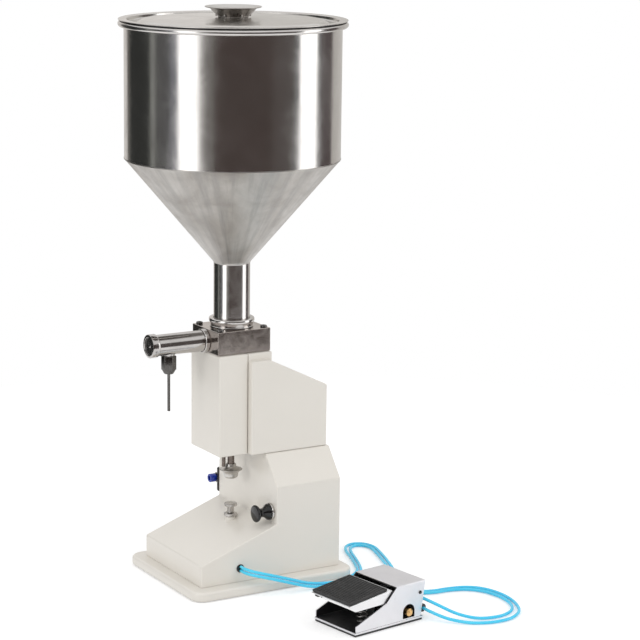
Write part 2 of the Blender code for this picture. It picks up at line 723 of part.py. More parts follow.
def build_lower_housing():
    """One welded shell: wedge with a sloping top, column and tapering shoulders."""
    bottom = BASE_THICKNESS + FIT_GAP
    shell = outline_solid("lower_housing", column_outline(bottom), "Y", -WEDGE_FRONT, COLUMN_REAR)
    soften(shell, HOUSING_EDGE_RADIUS)
    reach = HOUSING_HALF_WIDTH + CUT_OVERRUN
    cut(shell, outline_solid("notch", notch_outline(COLUMN_FRONT, 0.0), "X", -reach, reach))
    inner = inset_outline(column_outline(bottom - HOUSING_WALL - CUT_OVERRUN), HOUSING_WALL)
    hollow = outline_solid("housing_hollow", inner, "Y", -WEDGE_FRONT + HOUSING_WALL, COLUMN_REAR - HOUSING_WALL)
    rise = (SLOPE_TOP - WEDGE_FRONT_TOP) / (COLUMN_FRONT + WEDGE_FRONT)
    drop = HOUSING_WALL * math.hypot(rise, 1)
    cut(hollow, outline_solid("hollow_notch", notch_outline(COLUMN_FRONT + HOUSING_WALL, drop), "X",
                              -reach, reach))
    cut(shell, hollow)
    boss_top = slope_height(0.0) + STOP_BOSS_STAND
    boss_low = boss_top - STOP_BOSS_DEPTH
    cut(shell, rod("stop_hole", (STOP_BOSS_RADIUS + STOP_STUD_RADIUS) / 2, boss_low, boss_top + CUT_OVERRUN))
    join(shell, turned("stop_boss", tube_profile(STOP_BOSS_RADIUS, STOP_STUD_RADIUS + FIT_GAP, boss_low,
                                                 boss_top), steps=SMALL_STEPS, ring=True))
    throttle = along_y(SLOPE_TOP + THROTTLE_RISE, HOUSING_HALF_WIDTH - THROTTLE_INSET)
    cut(shell, rod("throttle_hole", THROTTLE_BUSH_RADIUS + FIT_GAP, -COLUMN_FRONT - HOUSING_WALL - CUT_OVERRUN,
                   -COLUMN_FRONT + CUT_OVERRUN, throttle))
    side_reach = HOUSING_WALL + CUT_OVERRUN
    cut(shell, rod("bulkhead_hole", BULKHEAD_BODY_RADIUS + FIT_GAP, -side_reach, CUT_OVERRUN, bulkhead_frame()))
    cut(shell, rod("inlet_hole", INLET_STEM_RADIUS + FIT_GAP, -side_reach, CUT_OVERRUN, inlet_frame(0.0)))
    duct = Matrix.Translation((0.0, DUCT_BEHIND_AXIS, SHOULDER_TOP))
    cut(shell, rod("lower_duct", DUCT_RADIUS, -side_reach, CUT_OVERRUN, duct))
    painted(shell)


def build_upper_housing():
    """The painted box with a sloping rear roof and the pad that carries the valve block."""
    floor = SHOULDER_TOP + FIT_GAP
    roof = BLOCK_BOTTOM - UPPER_BELOW_BLOCK
    side = [(UPPER_FRONT, floor), (UPPER_REAR, floor), (UPPER_REAR, roof - UPPER_ROOF_DROP),
            (UPPER_FLAT_END, roof), (UPPER_FRONT, roof)]
    shell = outline_solid("upper_housing", side, "X", -UPPER_HALF_WIDTH, UPPER_HALF_WIDTH)
    soften(shell, HOUSING_EDGE_RADIUS)
    half = UPPER_HALF_WIDTH - UPPER_WALL
    cut(shell, outline_solid("upper_hollow", inset_outline(side, UPPER_WALL), "X", -half, half))
    pad_top = BLOCK_BOTTOM - FIT_GAP
    join(shell, box("upper_pad", (-COVER_HALF_WIDTH, UPPER_FRONT, pad_top - PAD_DEPTH),
                    (COVER_HALF_WIDTH, BLOCK_REAR, pad_top)))
    window = COVER_HALF_WIDTH - COVER_WALL
    cut(shell, box("upper_window", (-window, UPPER_FRONT - CUT_OVERRUN, floor + UPPER_WALL),
                   (window, UPPER_FRONT + UPPER_WALL + CUT_OVERRUN, pad_top - PAD_DEPTH)))
    cut_for_cylinders(shell, "upper")
    duct = Matrix.Translation((0.0, DUCT_BEHIND_AXIS, floor))
    cut(shell, rod("upper_duct", DUCT_RADIUS, -CUT_OVERRUN, UPPER_WALL + CUT_OVERRUN, duct))
    for side_sign in (-1, 1):
        screw_hole(shell, "upper", side_sign, 1)
    painted(shell)


def build_front_cover():
    """The narrow painted box ahead of the cylinders, open towards the upper housing."""
    floor = SHOULDER_TOP + FIT_GAP
    top = BLOCK_BOTTOM - FIT_GAP
    rear = UPPER_FRONT - FIT_GAP
    cover = box("front_cover", (-COVER_HALF_WIDTH, -COVER_FRONT, floor), (COVER_HALF_WIDTH, rear, top))
    soften(cover, HOUSING_EDGE_RADIUS)
    half = COVER_HALF_WIDTH - COVER_WALL
    cut(cover, box("cover_hollow", (-half, -COVER_FRONT + COVER_WALL, floor + COVER_WALL),
                   (half, rear + CUT_OVERRUN, top - COVER_HEAD)))
    cut_for_cylinders(cover, "cover")
    for side_sign in (-1, 1):
        screw_hole(cover, "cover", side_sign, -1)
    painted(cover)


def cut_for_cylinders(shell, name):
    """Openings for the metering cylinder above and the air cylinder's spigot below."""
    top = BLOCK_BOTTOM + CUT_OVERRUN
    cut(shell, rod(name + "_head_hole", METERING_OUTER_RADIUS + FIT_GAP,
                   top - METERING_LENGTH / 2, top, steps=LARGE_STEPS))
    cut(shell, rod(name + "_spigot_hole", AIR_SPIGOT_RADIUS + FIT_GAP, SHOULDER_TOP - CUT_OVERRUN,
                   SHOULDER_TOP + COVER_WALL + CUT_OVERRUN, steps=MEDIUM_STEPS))


def screw_place(side_sign, rear_sign):
    """Place of a block screw, in a corner of the block."""
    reach = BLOCK_REAR if rear_sign > 0 else BLOCK_FRONT
    return Matrix.Translation((side_sign * (BLOCK_HALF_WIDTH - SCREW_INSET),
                               rear_sign * (reach - SCREW_INSET), BLOCK_TOP))


def screw_hole(shell, name, side_sign, rear_sign):
    """Clearance hole for a block screw."""
    thickness = BLOCK_TOP - BLOCK_BOTTOM
    hole = "{}_screw_hole_{}_{}".format(name, side_sign, rear_sign)
    cut(shell, rod(hole, SCREW_SHANK_RADIUS + FIT_GAP, -thickness - SCREW_GRIP - FIT_GAP * 2, CUT_OVERRUN,
                   screw_place(side_sign, rear_sign)))


def build_valve_block():
    """The valve block with its ports, and the four cap screws that hold it down."""
    block = box("valve_block", (-BLOCK_HALF_WIDTH, -BLOCK_FRONT, BLOCK_BOTTOM),
                (BLOCK_HALF_WIDTH, BLOCK_REAR, BLOCK_TOP))
    soften(block, BLOCK_EDGE_RADIUS)
    seat_top = BLOCK_TOP - PORT_DEPTH
    seat_bottom = seat_top - SEAT_THICKNESS
    over = BLOCK_TOP + CUT_OVERRUN
    under = BLOCK_BOTTOM - CUT_OVERRUN
    port = ((0.0, over), (PORT_RADIUS, over), (PORT_RADIUS, seat_top), (SEAT_RADIUS, seat_top),
            (SEAT_RADIUS, seat_bottom), (PORT_RADIUS, seat_bottom), (PORT_RADIUS, under), (0.0, under))
    cut(block, turned("block_port", port))
    over = BLOCK_FRONT + CUT_OVERRUN
    socket = OUTLET_SPIGOT_RADIUS + FIT_GAP
    socket_rear = OUTLET_SPIGOT_START - FIT_GAP
    passage = ((0.0, over), (socket, over), (socket, socket_rear), (PASSAGE_RADIUS, socket_rear),
               (PASSAGE_RADIUS, SEAT_RADIUS), (0.0, SEAT_RADIUS))
    cut(block, turned("block_passage", passage, along_y(OUTLET_Z)))
    number = 0
    for side_sign in (-1, 1):
        for rear_sign in (-1, 1):
            number += 1
            screw_hole(block, "block", side_sign, rear_sign)
            build_block_screw("block_screw_{}".format(number), screw_place(side_sign, rear_sign))
    steel(block)


def build_block_screw(name, place):
    """A socket cap screw, its origin on top of the block."""
    low = FIT_GAP
    high = low + SCREW_HEAD_HEIGHT
    tip = -(BLOCK_TOP - BLOCK_BOTTOM) - SCREW_GRIP
    profile = ((0.0, high), (SCREW_HEAD_RADIUS, high), (SCREW_HEAD_RADIUS, low),
               (SCREW_SHANK_RADIUS, low), (SCREW_SHANK_RADIUS, tip), (0.0, tip))
    screw = turned(name, profile, place, steps=SMALL_STEPS)
    cut(screw, rod(name + "_socket", SCREW_SOCKET_RADIUS, high - SCREW_SOCKET_DEPTH, high + CUT_OVERRUN,
                   place, steps=HEX_STEPS))
    dark_steel(screw)


def build_metering():
    """Metering cylinder under the block, its piston and the piston's seal."""
    top = BLOCK_BOTTOM - FIT_GAP
    profile = tube_profile(METERING_OUTER_RADIUS, METERING_BORE_RADIUS, top - METERING_LENGTH, top)
    steel(turned("metering_cylinder", profile, steps=LARGE_STEPS, ring=True))
    piston_top = top - PISTON_HEADROOM
    build_piston("metering_piston", METERING_BORE_RADIUS, piston_top, METERING_PISTON_LENGTH,
                 piston_top - METERING_PISTON_LENGTH + ROD_INTO_PISTON)


def build_piston(name, bore, top, length, rod_top):
    """A piston with a groove for its seal; the rod enters from below, up to rod_top."""
    body = bore - FIT_GAP
    groove = body - SEAL_GROOVE_DEPTH
    groove_top = top - length / 2 + SEAL_WIDTH / 2
    groove_bottom = groove_top - SEAL_WIDTH
    bottom = top - length
    rod_bore = ROD_RADIUS + FIT_GAP
    outer = [(body, top), (body, groove_top), (groove, groove_top), (groove, groove_bottom),
             (body, groove_bottom), (body, bottom), (rod_bore, bottom)]
    if rod_top < top:
        piston = turned(name, [(0.0, top)] + outer + [(rod_bore, rod_top + FIT_GAP), (0.0, rod_top + FIT_GAP)],
                        steps=LARGE_STEPS)
    else:
        piston = turned(name, outer + [(rod_bore, top)], steps=LARGE_STEPS, ring=True)
    steel(piston)
    seal = tube_profile(bore - FIT_GAP + SEAL_STAND, groove + FIT_GAP, groove_bottom + FIT_GAP,
                        groove_top - FIT_GAP)
    black(turned(name + "_seal", seal, steps=LARGE_STEPS, ring=True))


def air_bottom():
    """Underside of the air cylinder's bottom cap, on the floor of the covers."""
    return SHOULDER_TOP + FIT_GAP + COVER_WALL + FIT_GAP


def build_air_cylinder():
    """Air cylinder tube between two caps, its piston, and the stop pin in the bottom cap."""
    low = air_bottom()
    spigot_end = SHOULDER_TOP + FIT_GAP
    rod_bore = ROD_RADIUS + FIT_GAP
    cap_top = low + AIR_CAP_THICKNESS
    profile = ((AIR_OUTER_RADIUS, cap_top), (AIR_OUTER_RADIUS, low), (AIR_SPIGOT_RADIUS, low),
               (AIR_SPIGOT_RADIUS, spigot_end), (rod_bore, spigot_end), (rod_bore, cap_top))
    cap = turned("air_cylinder_bottom_cap", profile, steps=LARGE_STEPS, ring=True)
    socket_top = spigot_end + STOP_PIN_SOCKET
    pin_place = Matrix.Translation((0.0, -STOP_PIN_AHEAD, 0.0))
    cut(cap, rod("stop_pin_socket", STOP_PIN_RADIUS + FIT_GAP, spigot_end - CUT_OVERRUN, socket_top, pin_place))
    alloy(cap)
    steel(rod("stop_pin", STOP_PIN_RADIUS, SHOULDER_TOP - STOP_PIN_REACH, socket_top - FIT_GAP, pin_place))
    tube_low = cap_top + FIT_GAP
    tube_high = tube_low + AIR_TUBE_LENGTH
    alloy(turned("air_cylinder_tube", tube_profile(AIR_OUTER_RADIUS, AIR_BORE_RADIUS, tube_low, tube_high),
                 steps=LARGE_STEPS, ring=True))
    top_low = tube_high + FIT_GAP
    alloy(turned("air_cylinder_top_cap", tube_profile(AIR_OUTER_RADIUS, rod_bore, top_low,
                                                      top_low + AIR_CAP_THICKNESS),
                 steps=LARGE_STEPS, ring=True))
    piston_top = tube_high - AIR_HEADROOM
    build_piston("air_piston", AIR_BORE_RADIUS, piston_top, AIR_PISTON_LENGTH, piston_top)


def build_rod_and_nut():
    """The one rod that both pistons share, and the flared adjusting nut on its lower end."""
    rod_top = BLOCK_BOTTOM - FIT_GAP - PISTON_HEADROOM - METERING_PISTON_LENGTH + ROD_INTO_PISTON
    rod_low = NUT_BOTTOM + NUT_FLOOR + FIT_GAP
    steel(rod("piston_rod", ROD_RADIUS, rod_low, rod_top, steps=MEDIUM_STEPS))
    bore = ROD_RADIUS + FIT_GAP
    rim_low = NUT_RIM_Z - NUT_RIM_THICKNESS
    flare = NUT_RIM_RADIUS - NUT_NECK_RADIUS
    under = rim_low - NUT_BOTTOM
    step = NUT_RIM_RADIUS - NUT_DOME_RADIUS
    profile = [(0.0, NUT_TOP), (NUT_NECK_RADIUS, NUT_TOP)]
    profile += [(NUT_NECK_RADIUS + flare * out, NUT_TOP - NUT_NECK_LENGTH * down) for out, down in NUT_NECK_SHARES]
    profile += [(NUT_RIM_RADIUS, NUT_RIM_Z), (NUT_RIM_RADIUS, rim_low)]
    profile += [(NUT_DOME_RADIUS + step * out, rim_low - under * down) for out, down in NUT_UNDERSIDE_SHARES]
    profile += [(0.0, NUT_BOTTOM)]
    nut = turned("adjusting_nut", profile)
    cut(nut, rod("nut_bore", bore, NUT_BOTTOM + NUT_FLOOR, NUT_TOP + CUT_OVERRUN, steps=MEDIUM_STEPS))
    steel(nut)


def build_stop():
    """The stroke stop: a headed screw through the slope and the lock ring on its boss."""
    head_top = NUT_BOTTOM - STROKE - FIT_GAP
    head_low = head_top - STOP_HEAD_THICKNESS
    ring_bottom = slope_height(0.0) + STOP_BOSS_STAND + FIT_GAP
    ring_top = ring_bottom + STOP_RING_THICKNESS
    neck_low = ring_top + FIT_GAP
    stud_low = neck_low - STOP_STUD_LENGTH + STOP_BOSS_DEPTH
    rim = STOP_DISC_RADIUS - STOP_BEVEL
    profile = ((0.0, head_top), (rim, head_top), (STOP_DISC_RADIUS, head_top - STOP_BEVEL),
               (STOP_DISC_RADIUS, head_low + STOP_BEVEL), (rim, head_low),
               (STOP_NECK_RADIUS, head_low - STOP_BEVEL), (STOP_NECK_RADIUS, neck_low),
               (STOP_STUD_RADIUS, neck_low), (STOP_STUD_RADIUS, stud_low), (0.0, stud_low))
    steel(turned("stop_screw", profile, steps=MEDIUM_STEPS))
    bore = STOP_STUD_RADIUS + FIT_GAP
    ring = ((rim, ring_top), (STOP_DISC_RADIUS, ring_top - STOP_BEVEL),
            (STOP_DISC_RADIUS, ring_bottom + STOP_BEVEL), (rim, ring_bottom),
            (bore, ring_bottom), (bore, ring_top))
    steel(turned("stop_lock_ring", ring, steps=MEDIUM_STEPS, ring=True))


def build_throttle():
    """The throttle valve: body and bush behind the column face, bright ring and black knob before it."""
    place = along_y(SLOPE_TOP + THROTTLE_RISE, HOUSING_HALF_WIDTH - THROTTLE_INSET)
    wall_front = -COLUMN_FRONT
    body_front = wall_front - HOUSING_WALL - FIT_GAP
    body_rear = body_front - THROTTLE_BODY_LENGTH
    ring_rear = wall_front + FIT_GAP
    ring_front = ring_rear + THROTTLE_RING_THICKNESS
    knob_rear = ring_front + FIT_GAP
    knob_front = knob_rear + KNURL_KNOB_LENGTH
    spindle_end = knob_rear + THROTTLE_SPINDLE_LENGTH
    bush_end = ring_front
    body = ((0.0, spindle_end), (THROTTLE_SPINDLE_RADIUS, spindle_end), (THROTTLE_SPINDLE_RADIUS, bush_end),
            (THROTTLE_BUSH_RADIUS, bush_end), (THROTTLE_BUSH_RADIUS, body_front),
            (THROTTLE_BODY_RADIUS, body_front), (THROTTLE_BODY_RADIUS, body_rear), (0.0, body_rear))
    dark_steel(turned("throttle_body", body, place, steps=SMALL_STEPS))
    steel(turned("throttle_ring", tube_profile(THROTTLE_RING_RADIUS, THROTTLE_BUSH_RADIUS + FIT_GAP,
                                               ring_rear, ring_front), place, ring=True))
    flare = KNURL_KNOB_RADIUS - KNURL_KNOB_NECK_RADIUS
    rim = KNURL_KNOB_RADIUS - CAP_BEVEL
    outer = [(0.0, knob_front), (rim, knob_front), (KNURL_KNOB_RADIUS, knob_front - CAP_BEVEL),
             (KNURL_KNOB_RADIUS, knob_front - KNURL_KNOB_RIM)]
    outer += [(KNURL_KNOB_NECK_RADIUS + flare * out, knob_front - KNURL_KNOB_LENGTH * back)
              for out, back in KNURL_KNOB_SHARES]
    outer += [(rim, knob_rear + KNURL_KNOB_RIM / 2), (rim, knob_rear), (0.0, knob_rear)]
    knob = turned("throttle_knob", outer, place)
    cut(knob, rod("spindle_bore", THROTTLE_SPINDLE_RADIUS + FIT_GAP, knob_rear - CUT_OVERRUN,
                  spindle_end + FIT_GAP, place))
    black(knob)


def elbow_body(name, matrix, parent, sizes):
    """A push-in elbow: stem down local -Z, barrel with its collar along local +X."""
    elbow = rod(name, sizes["stem_radius"], -sizes["stem_length"], 0.0, matrix, parent, SMALL_STEPS)
    across = matrix @ Matrix.Rotation(math.radians(90), 4, "Y")
    end = sizes["barrel_length"]
    collar = end - sizes["collar_length"]
    radius = sizes["barrel_radius"]
    profile = ((0.0, end), (sizes["collar_radius"], end), (sizes["collar_radius"], collar), (radius, collar),
               (radius, -radius), (0.0, -radius))
    join(elbow, turned(name + "_barrel", profile, across, parent, SMALL_STEPS))
    hex_top = -sizes["hex_start"]
    join(elbow, rod(name + "_hex", sizes["hex_radius"], hex_top - sizes["hex_length"], hex_top, matrix, parent,
                    HEX_STEPS))
    cut(elbow, rod(name + "_socket", sizes["socket_radius"], end - sizes["socket_depth"], end + CUT_OVERRUN,
                   across, parent))
    return elbow


def inlet_frame(standoff):
    """Frame on the left side wall, its Z axis outwards and its X axis to the front."""
    return frame_of((-HOUSING_HALF_WIDTH - standoff, INLET_Y, INLET_Z), (0, -1, 0), (-1, 0, 0))


def build_air_inlet():
    """The air inlet: plate on the left side wall, push-in elbow and its blue release ring."""
    outer = -HOUSING_HALF_WIDTH - FIT_GAP
    plate = box("inlet_plate", (outer - INLET_PLATE_THICKNESS, INLET_PLATE_FRONT, INLET_Z - INLET_PLATE_HALF_HEIGHT),
                (outer, INLET_PLATE_REAR, INLET_Z + INLET_PLATE_HALF_HEIGHT))
    cut(plate, rod("plate_hole", INLET_STEM_RADIUS + FIT_GAP, -CUT_OVERRUN,
                   INLET_PLATE_THICKNESS + CUT_OVERRUN, inlet_frame(0.0)))
    dark_steel(plate)
    hex_start = INLET_STANDOFF - INLET_PLATE_THICKNESS - FIT_GAP * 2 - INLET_HEX_LENGTH
    sizes = {"stem_radius": INLET_STEM_RADIUS, "stem_length": INLET_STEM_LENGTH,
             "barrel_radius": INLET_BODY_RADIUS, "barrel_length": INLET_BODY_LENGTH,
             "collar_radius": INLET_COLLAR_RADIUS, "collar_length": INLET_COLLAR_LENGTH,
             "hex_radius": INLET_HEX_RADIUS, "hex_length": INLET_HEX_LENGTH, "hex_start": hex_start,
             "socket_radius": INLET_SOCKET_RADIUS, "socket_depth": INLET_SOCKET_DEPTH}
    place = inlet_frame(INLET_STANDOFF)
    dark_steel(elbow_body("inlet_elbow", place, None, sizes))
    flange_rear = INLET_BODY_LENGTH + RELEASE_TRAVEL_GAP
    flange_front = flange_rear + RELEASE_RING_LENGTH
    sleeve = flange_rear - RELEASE_SLEEVE_LENGTH
    ring = ((RELEASE_RING_RADIUS, flange_front), (RELEASE_RING_RADIUS, flange_rear),
            (RELEASE_SLEEVE_RADIUS, flange_rear), (RELEASE_SLEEVE_RADIUS, sleeve),
            (RELEASE_RING_BORE, sleeve), (RELEASE_RING_BORE, flange_front))
    blue(turned("inlet_release_ring", ring, place @ Matrix.Rotation(math.radians(90), 4, "Y"), ring=True))


def build_outlet():
    """Outlet tube with its collar, end cap, check valve and the nozzle's boss."""
    place = along_y(OUTLET_Z)
    collar_rear = BLOCK_FRONT + FIT_GAP
    collar_front = collar_rear + COLLAR_LENGTH
    collar_bore = OUTLET_SPIGOT_RADIUS + FIT_GAP
    collar = ((COLLAR_RADIUS - CAP_BEVEL, collar_front), (COLLAR_RADIUS, collar_front - CAP_BEVEL),
              (COLLAR_RADIUS, collar_rear + CAP_BEVEL), (COLLAR_RADIUS - CAP_BEVEL, collar_rear),
              (collar_bore, collar_rear), (collar_bore, collar_front))
    steel(turned("outlet_collar", collar, place, ring=True))
    shoulder = collar_front + FIT_GAP
    seat_bore = PASSAGE_RADIUS + FIT_GAP
    profile = ((OUTLET_RADIUS, OUTLET_END), (OUTLET_RADIUS, shoulder), (OUTLET_SPIGOT_RADIUS, shoulder),
               (OUTLET_SPIGOT_RADIUS, OUTLET_SPIGOT_START), (seat_bore, OUTLET_SPIGOT_START),
               (seat_bore, OUTLET_SEAT_FACE), (OUTLET_BORE_RADIUS, OUTLET_SEAT_FACE),
               (OUTLET_BORE_RADIUS, OUTLET_END))
    outlet = turned("outlet_tube", profile, place, ring=True)
    nozzle = Matrix.Translation((0.0, -NOZZLE_AHEAD, 0.0))
    bore_floor = OUTLET_Z - OUTLET_BORE_RADIUS
    join(outlet, rod("nozzle_boss", NOZZLE_BOSS_RADIUS, NOZZLE_BOSS_BOTTOM, bore_floor, nozzle))
    cut(outlet, rod("nozzle_boss_bore", NOZZLE_BOSS_BORE, NOZZLE_BOSS_BOTTOM - CUT_OVERRUN, OUTLET_Z, nozzle))
    steel(outlet)
    cap_rear = OUTLET_END + FIT_GAP
    cap_front = cap_rear + END_CAP_LENGTH
    recess = cap_front - END_CAP_RECESS_DEPTH
    plug = cap_rear - END_CAP_PLUG_LENGTH
    plug_radius = OUTLET_BORE_RADIUS - FIT_GAP
    cap = ((0.0, recess), (END_CAP_RECESS_RADIUS, recess), (END_CAP_RECESS_RADIUS, cap_front),
           (COLLAR_RADIUS - CAP_BEVEL, cap_front), (COLLAR_RADIUS, cap_front - CAP_BEVEL),
           (COLLAR_RADIUS, cap_rear + CAP_BEVEL), (COLLAR_RADIUS - CAP_BEVEL, cap_rear),
           (plug_radius, cap_rear), (plug_radius, plug), (0.0, plug))
    steel(turned("outlet_end_cap", cap, place))
    disc_rear = OUTLET_SEAT_FACE + FIT_GAP
    disc_front = disc_rear + OUTLET_POPPET_THICKNESS
    poppet = ((0.0, disc_front), (OUTLET_POPPET_RADIUS, disc_front), (OUTLET_POPPET_RADIUS, disc_rear),
              (OUTLET_STEM_RADIUS, disc_rear), (OUTLET_STEM_RADIUS, disc_rear - OUTLET_STEM_LENGTH),
              (0.0, disc_rear - OUTLET_STEM_LENGTH))
    steel(turned("outlet_poppet", poppet, place, steps=SMALL_STEPS))
    steel(coil_spring("outlet_spring", OUTLET_SPRING_RADIUS, OUTLET_SPRING_WIRE, disc_front + FIT_GAP,
                      plug - FIT_GAP, OUTLET_SPRING_TURNS, place))


def build_nozzle():
    """The hexagonal union nut, tapered below, and the needle whose flange it clamps."""
    place = Matrix.Translation((0.0, -NOZZLE_AHEAD, 0.0))
    nut_top = NOZZLE_BOSS_BOTTOM + NOZZLE_NUT_THREAD
    shoulder = NOZZLE_BOSS_BOTTOM - NOZZLE_NUT_GRIP
    nut_low = shoulder - NOZZLE_NUT_TAPER
    profile = ((0.0, nut_top), (NOZZLE_NUT_RADIUS, nut_top), (NOZZLE_NUT_RADIUS, shoulder),
               (NOZZLE_NUT_TIP_RADIUS, nut_low), (0.0, nut_low))
    nut = turned("nozzle_nut", profile, place, steps=HEX_STEPS)
    flange_top = NOZZLE_BOSS_BOTTOM - FIT_GAP
    flange_low = flange_top - NEEDLE_FLANGE_THICKNESS
    cut(nut, rod("nut_thread", NOZZLE_BOSS_RADIUS + FIT_GAP, flange_low - FIT_GAP,
                 nut_top + CUT_OVERRUN, place))
    cut(nut, rod("nut_outlet", NEEDLE_RADIUS + FIT_GAP, nut_low - CUT_OVERRUN,
                 NOZZLE_BOSS_BOTTOM, place))
    dark_steel(nut)
    tip = flange_top - NEEDLE_LENGTH
    needle = ((NEEDLE_FLANGE_RADIUS, flange_top), (NEEDLE_FLANGE_RADIUS, flange_low),
              (NEEDLE_RADIUS, flange_low), (NEEDLE_RADIUS, tip),
              (NEEDLE_BORE_RADIUS, tip), (NEEDLE_BORE_RADIUS, flange_top))
    steel(turned("nozzle_needle", needle, place, steps=SMALL_STEPS, ring=True))


def build_inlet_valve():
    """The check valve under the hopper: a poppet hung on its spring above the seat."""
    seat_top = BLOCK_TOP - PORT_DEPTH
    disc_top = seat_top - SEAT_THICKNESS - FIT_GAP
    disc_low = disc_top - INLET_POPPET_THICKNESS
    stem_top = BLOCK_TOP + POPPET_STEM_STAND
    retainer = stem_top - RETAINER_THICKNESS
    profile = ((0.0, stem_top), (RETAINER_RADIUS, stem_top), (RETAINER_RADIUS, retainer),
               (POPPET_STEM_RADIUS, retainer), (POPPET_STEM_RADIUS, disc_top), (INLET_POPPET_RADIUS, disc_top),
               (INLET_POPPET_RADIUS, disc_low), (0.0, disc_low))
    steel(turned("inlet_poppet", profile, steps=SMALL_STEPS))
    steel(coil_spring("inlet_spring", INLET_SPRING_RADIUS, INLET_SPRING_WIRE, seat_top + FIT_GAP,
                      retainer - FIT_GAP, INLET_SPRING_TURNS))


def build_hopper():
    """Hopper, neck tube with its ferrule, gasket and union ring."""
    gasket_low = BLOCK_TOP + FIT_GAP
    gasket_top = gasket_low + GASKET_THICKNESS
    black(turned("neck_gasket", tube_profile(FERRULE_RADIUS, GASKET_BORE_RADIUS, gasket_low, gasket_top),
                 ring=True))
    bottom = gasket_top + FIT_GAP
    lip_top = bottom + FERRULE_THICKNESS
    half_turn = math.atan((BARREL_RADIUS - NECK_RADIUS) / (BARREL_BOTTOM - NECK_TOP)) / 2
    corner_rise = SHEET * math.tan(half_turn)
    bead_x = BARREL_RADIUS + BEAD_RADIUS
    bead_top = BEAD_CENTRE_Z + BEAD_RADIUS
    profile = [(BARREL_RADIUS - SHEET, bead_top)]
    profile += arc((bead_x, BEAD_CENTRE_Z), BEAD_RADIUS, 90, -90)
    profile += [(BARREL_RADIUS, BEAD_CENTRE_Z - BEAD_RADIUS - FIT_GAP), (BARREL_RADIUS, BARREL_BOTTOM),
                (NECK_RADIUS, NECK_TOP), (NECK_RADIUS - SHEET, NECK_TOP),
                (NECK_RADIUS - SHEET, NECK_TOP + corner_rise), (BARREL_RADIUS - SHEET, BARREL_BOTTOM + corner_rise)]
    steel(turned("hopper", profile, steps=LARGE_STEPS, ring=True))
    tube_top = NECK_TOP - FIT_GAP
    tube = ((NECK_RADIUS, tube_top), (NECK_RADIUS, lip_top), (FERRULE_RADIUS, lip_top),
            (FERRULE_RADIUS, bottom), (NECK_RADIUS - SHEET, bottom), (NECK_RADIUS - SHEET, tube_top))
    steel(turned("neck_tube", tube, steps=LARGE_STEPS, ring=True))
    inner = FERRULE_RADIUS + FIT_GAP
    neck_bore = NECK_RADIUS + FIT_GAP
    shelf = lip_top + FIT_GAP
    groove_top = UNION_TOP - UNION_LIP
    groove_low = groove_top - UNION_GROOVE_WIDTH
    groove = UNION_RADIUS - UNION_GROOVE_DEPTH
    union = ((UNION_RADIUS, UNION_TOP), (UNION_RADIUS, groove_top), (groove, groove_top), (groove, groove_low),
             (UNION_RADIUS, groove_low), (UNION_RADIUS, gasket_low), (inner, gasket_low), (inner, shelf),
             (neck_bore, shelf), (neck_bore, UNION_TOP))
    steel(turned("neck_union", union, steps=LARGE_STEPS, ring=True))


def build_lid():
    """The lid with its sunken groove and dome, and the flared knob."""
    seat = BEAD_CENTRE_Z + BEAD_RADIUS + FIT_GAP
    rim_top = seat + LID_FLANGE_RISE
    groove_z = rim_top - LID_GROOVE_DEPTH
    dome_edge_z = rim_top - LID_EDGE_ROLL
    top_z = dome_edge_z + LID_DOME_RISE
    slope = LID_GROOVE_SLOPE
    rim = BARREL_RADIUS + LID_OVERHANG
    outer = BARREL_RADIUS - LID_GROOVE_INSET
    inner = outer - LID_GROOVE_WIDTH
    dome = inner - LID_DOME_STEP
    out_share, fall_share = LID_DOME_SHARES
    crown = top_z - LID_DOME_RISE * fall_share
    upper = [(0.0, top_z), (dome * out_share, crown), (dome, dome_edge_z),
             (inner + slope, groove_z), (outer - slope, groove_z),
             (outer + slope, rim_top), (rim - LID_EDGE_ROLL, rim_top)]
    edge = [(rim, rim_top - LID_EDGE_ROLL), (rim, seat)]
    under_rim = outer + slope - LID_SHEET / 2
    under = [(under_rim, seat), (outer - slope, groove_z - LID_SHEET),
             (inner + slope, groove_z - LID_SHEET),
             (dome - LID_SHEET / 2, dome_edge_z - LID_SHEET),
             (dome * out_share, crown - LID_SHEET), (0.0, top_z - LID_SHEET)]
    steel(turned("hopper_lid", upper + edge + under, steps=LARGE_STEPS))
    foot = top_z + FIT_GAP
    top = foot + KNOB_HEIGHT
    brim_low = top - KNOB_BRIM_THICKNESS
    profile = [(0.0, top - KNOB_DISH_DEPTH)]
    profile += [(KNOB_DISH_RADIUS * out, top - KNOB_DISH_DEPTH * down) for out, down in KNOB_DISH_SHARES]
    profile += [(KNOB_BRIM_RADIUS, top), (KNOB_BRIM_RADIUS, brim_low),
                (KNOB_SHOULDER_RADIUS, brim_low - KNOB_BRIM_THICKNESS), (KNOB_FOOT_RADIUS, foot), (0.0, foot)]
    steel(turned("lid_knob", profile))


def bulkhead_frame():
    """Frame on the right side wall, its Z axis outwards."""
    return frame_of((HOUSING_HALF_WIDTH, -BULKHEAD_AHEAD, BULKHEAD_Z), (0, 1, 0), (1, 0, 0))


def build_hoses():
    """The bulkhead in the right side wall and the two hoses that leave it."""
    low = FIT_GAP
    high = low + BULKHEAD_FLANGE_THICKNESS
    profile = ((0.0, high), (BULKHEAD_RADIUS, high), (BULKHEAD_RADIUS, low), (BULKHEAD_BODY_RADIUS, low),
               (BULKHEAD_BODY_RADIUS, -BULKHEAD_BODY_LENGTH), (0.0, -BULKHEAD_BODY_LENGTH))
    black(turned("hose_bulkhead", profile, bulkhead_frame(), steps=SMALL_STEPS))
    hose("hose_outer", OUTER_HOSE_ROUTE)
    hose("hose_inner", INNER_HOSE_ROUTE)


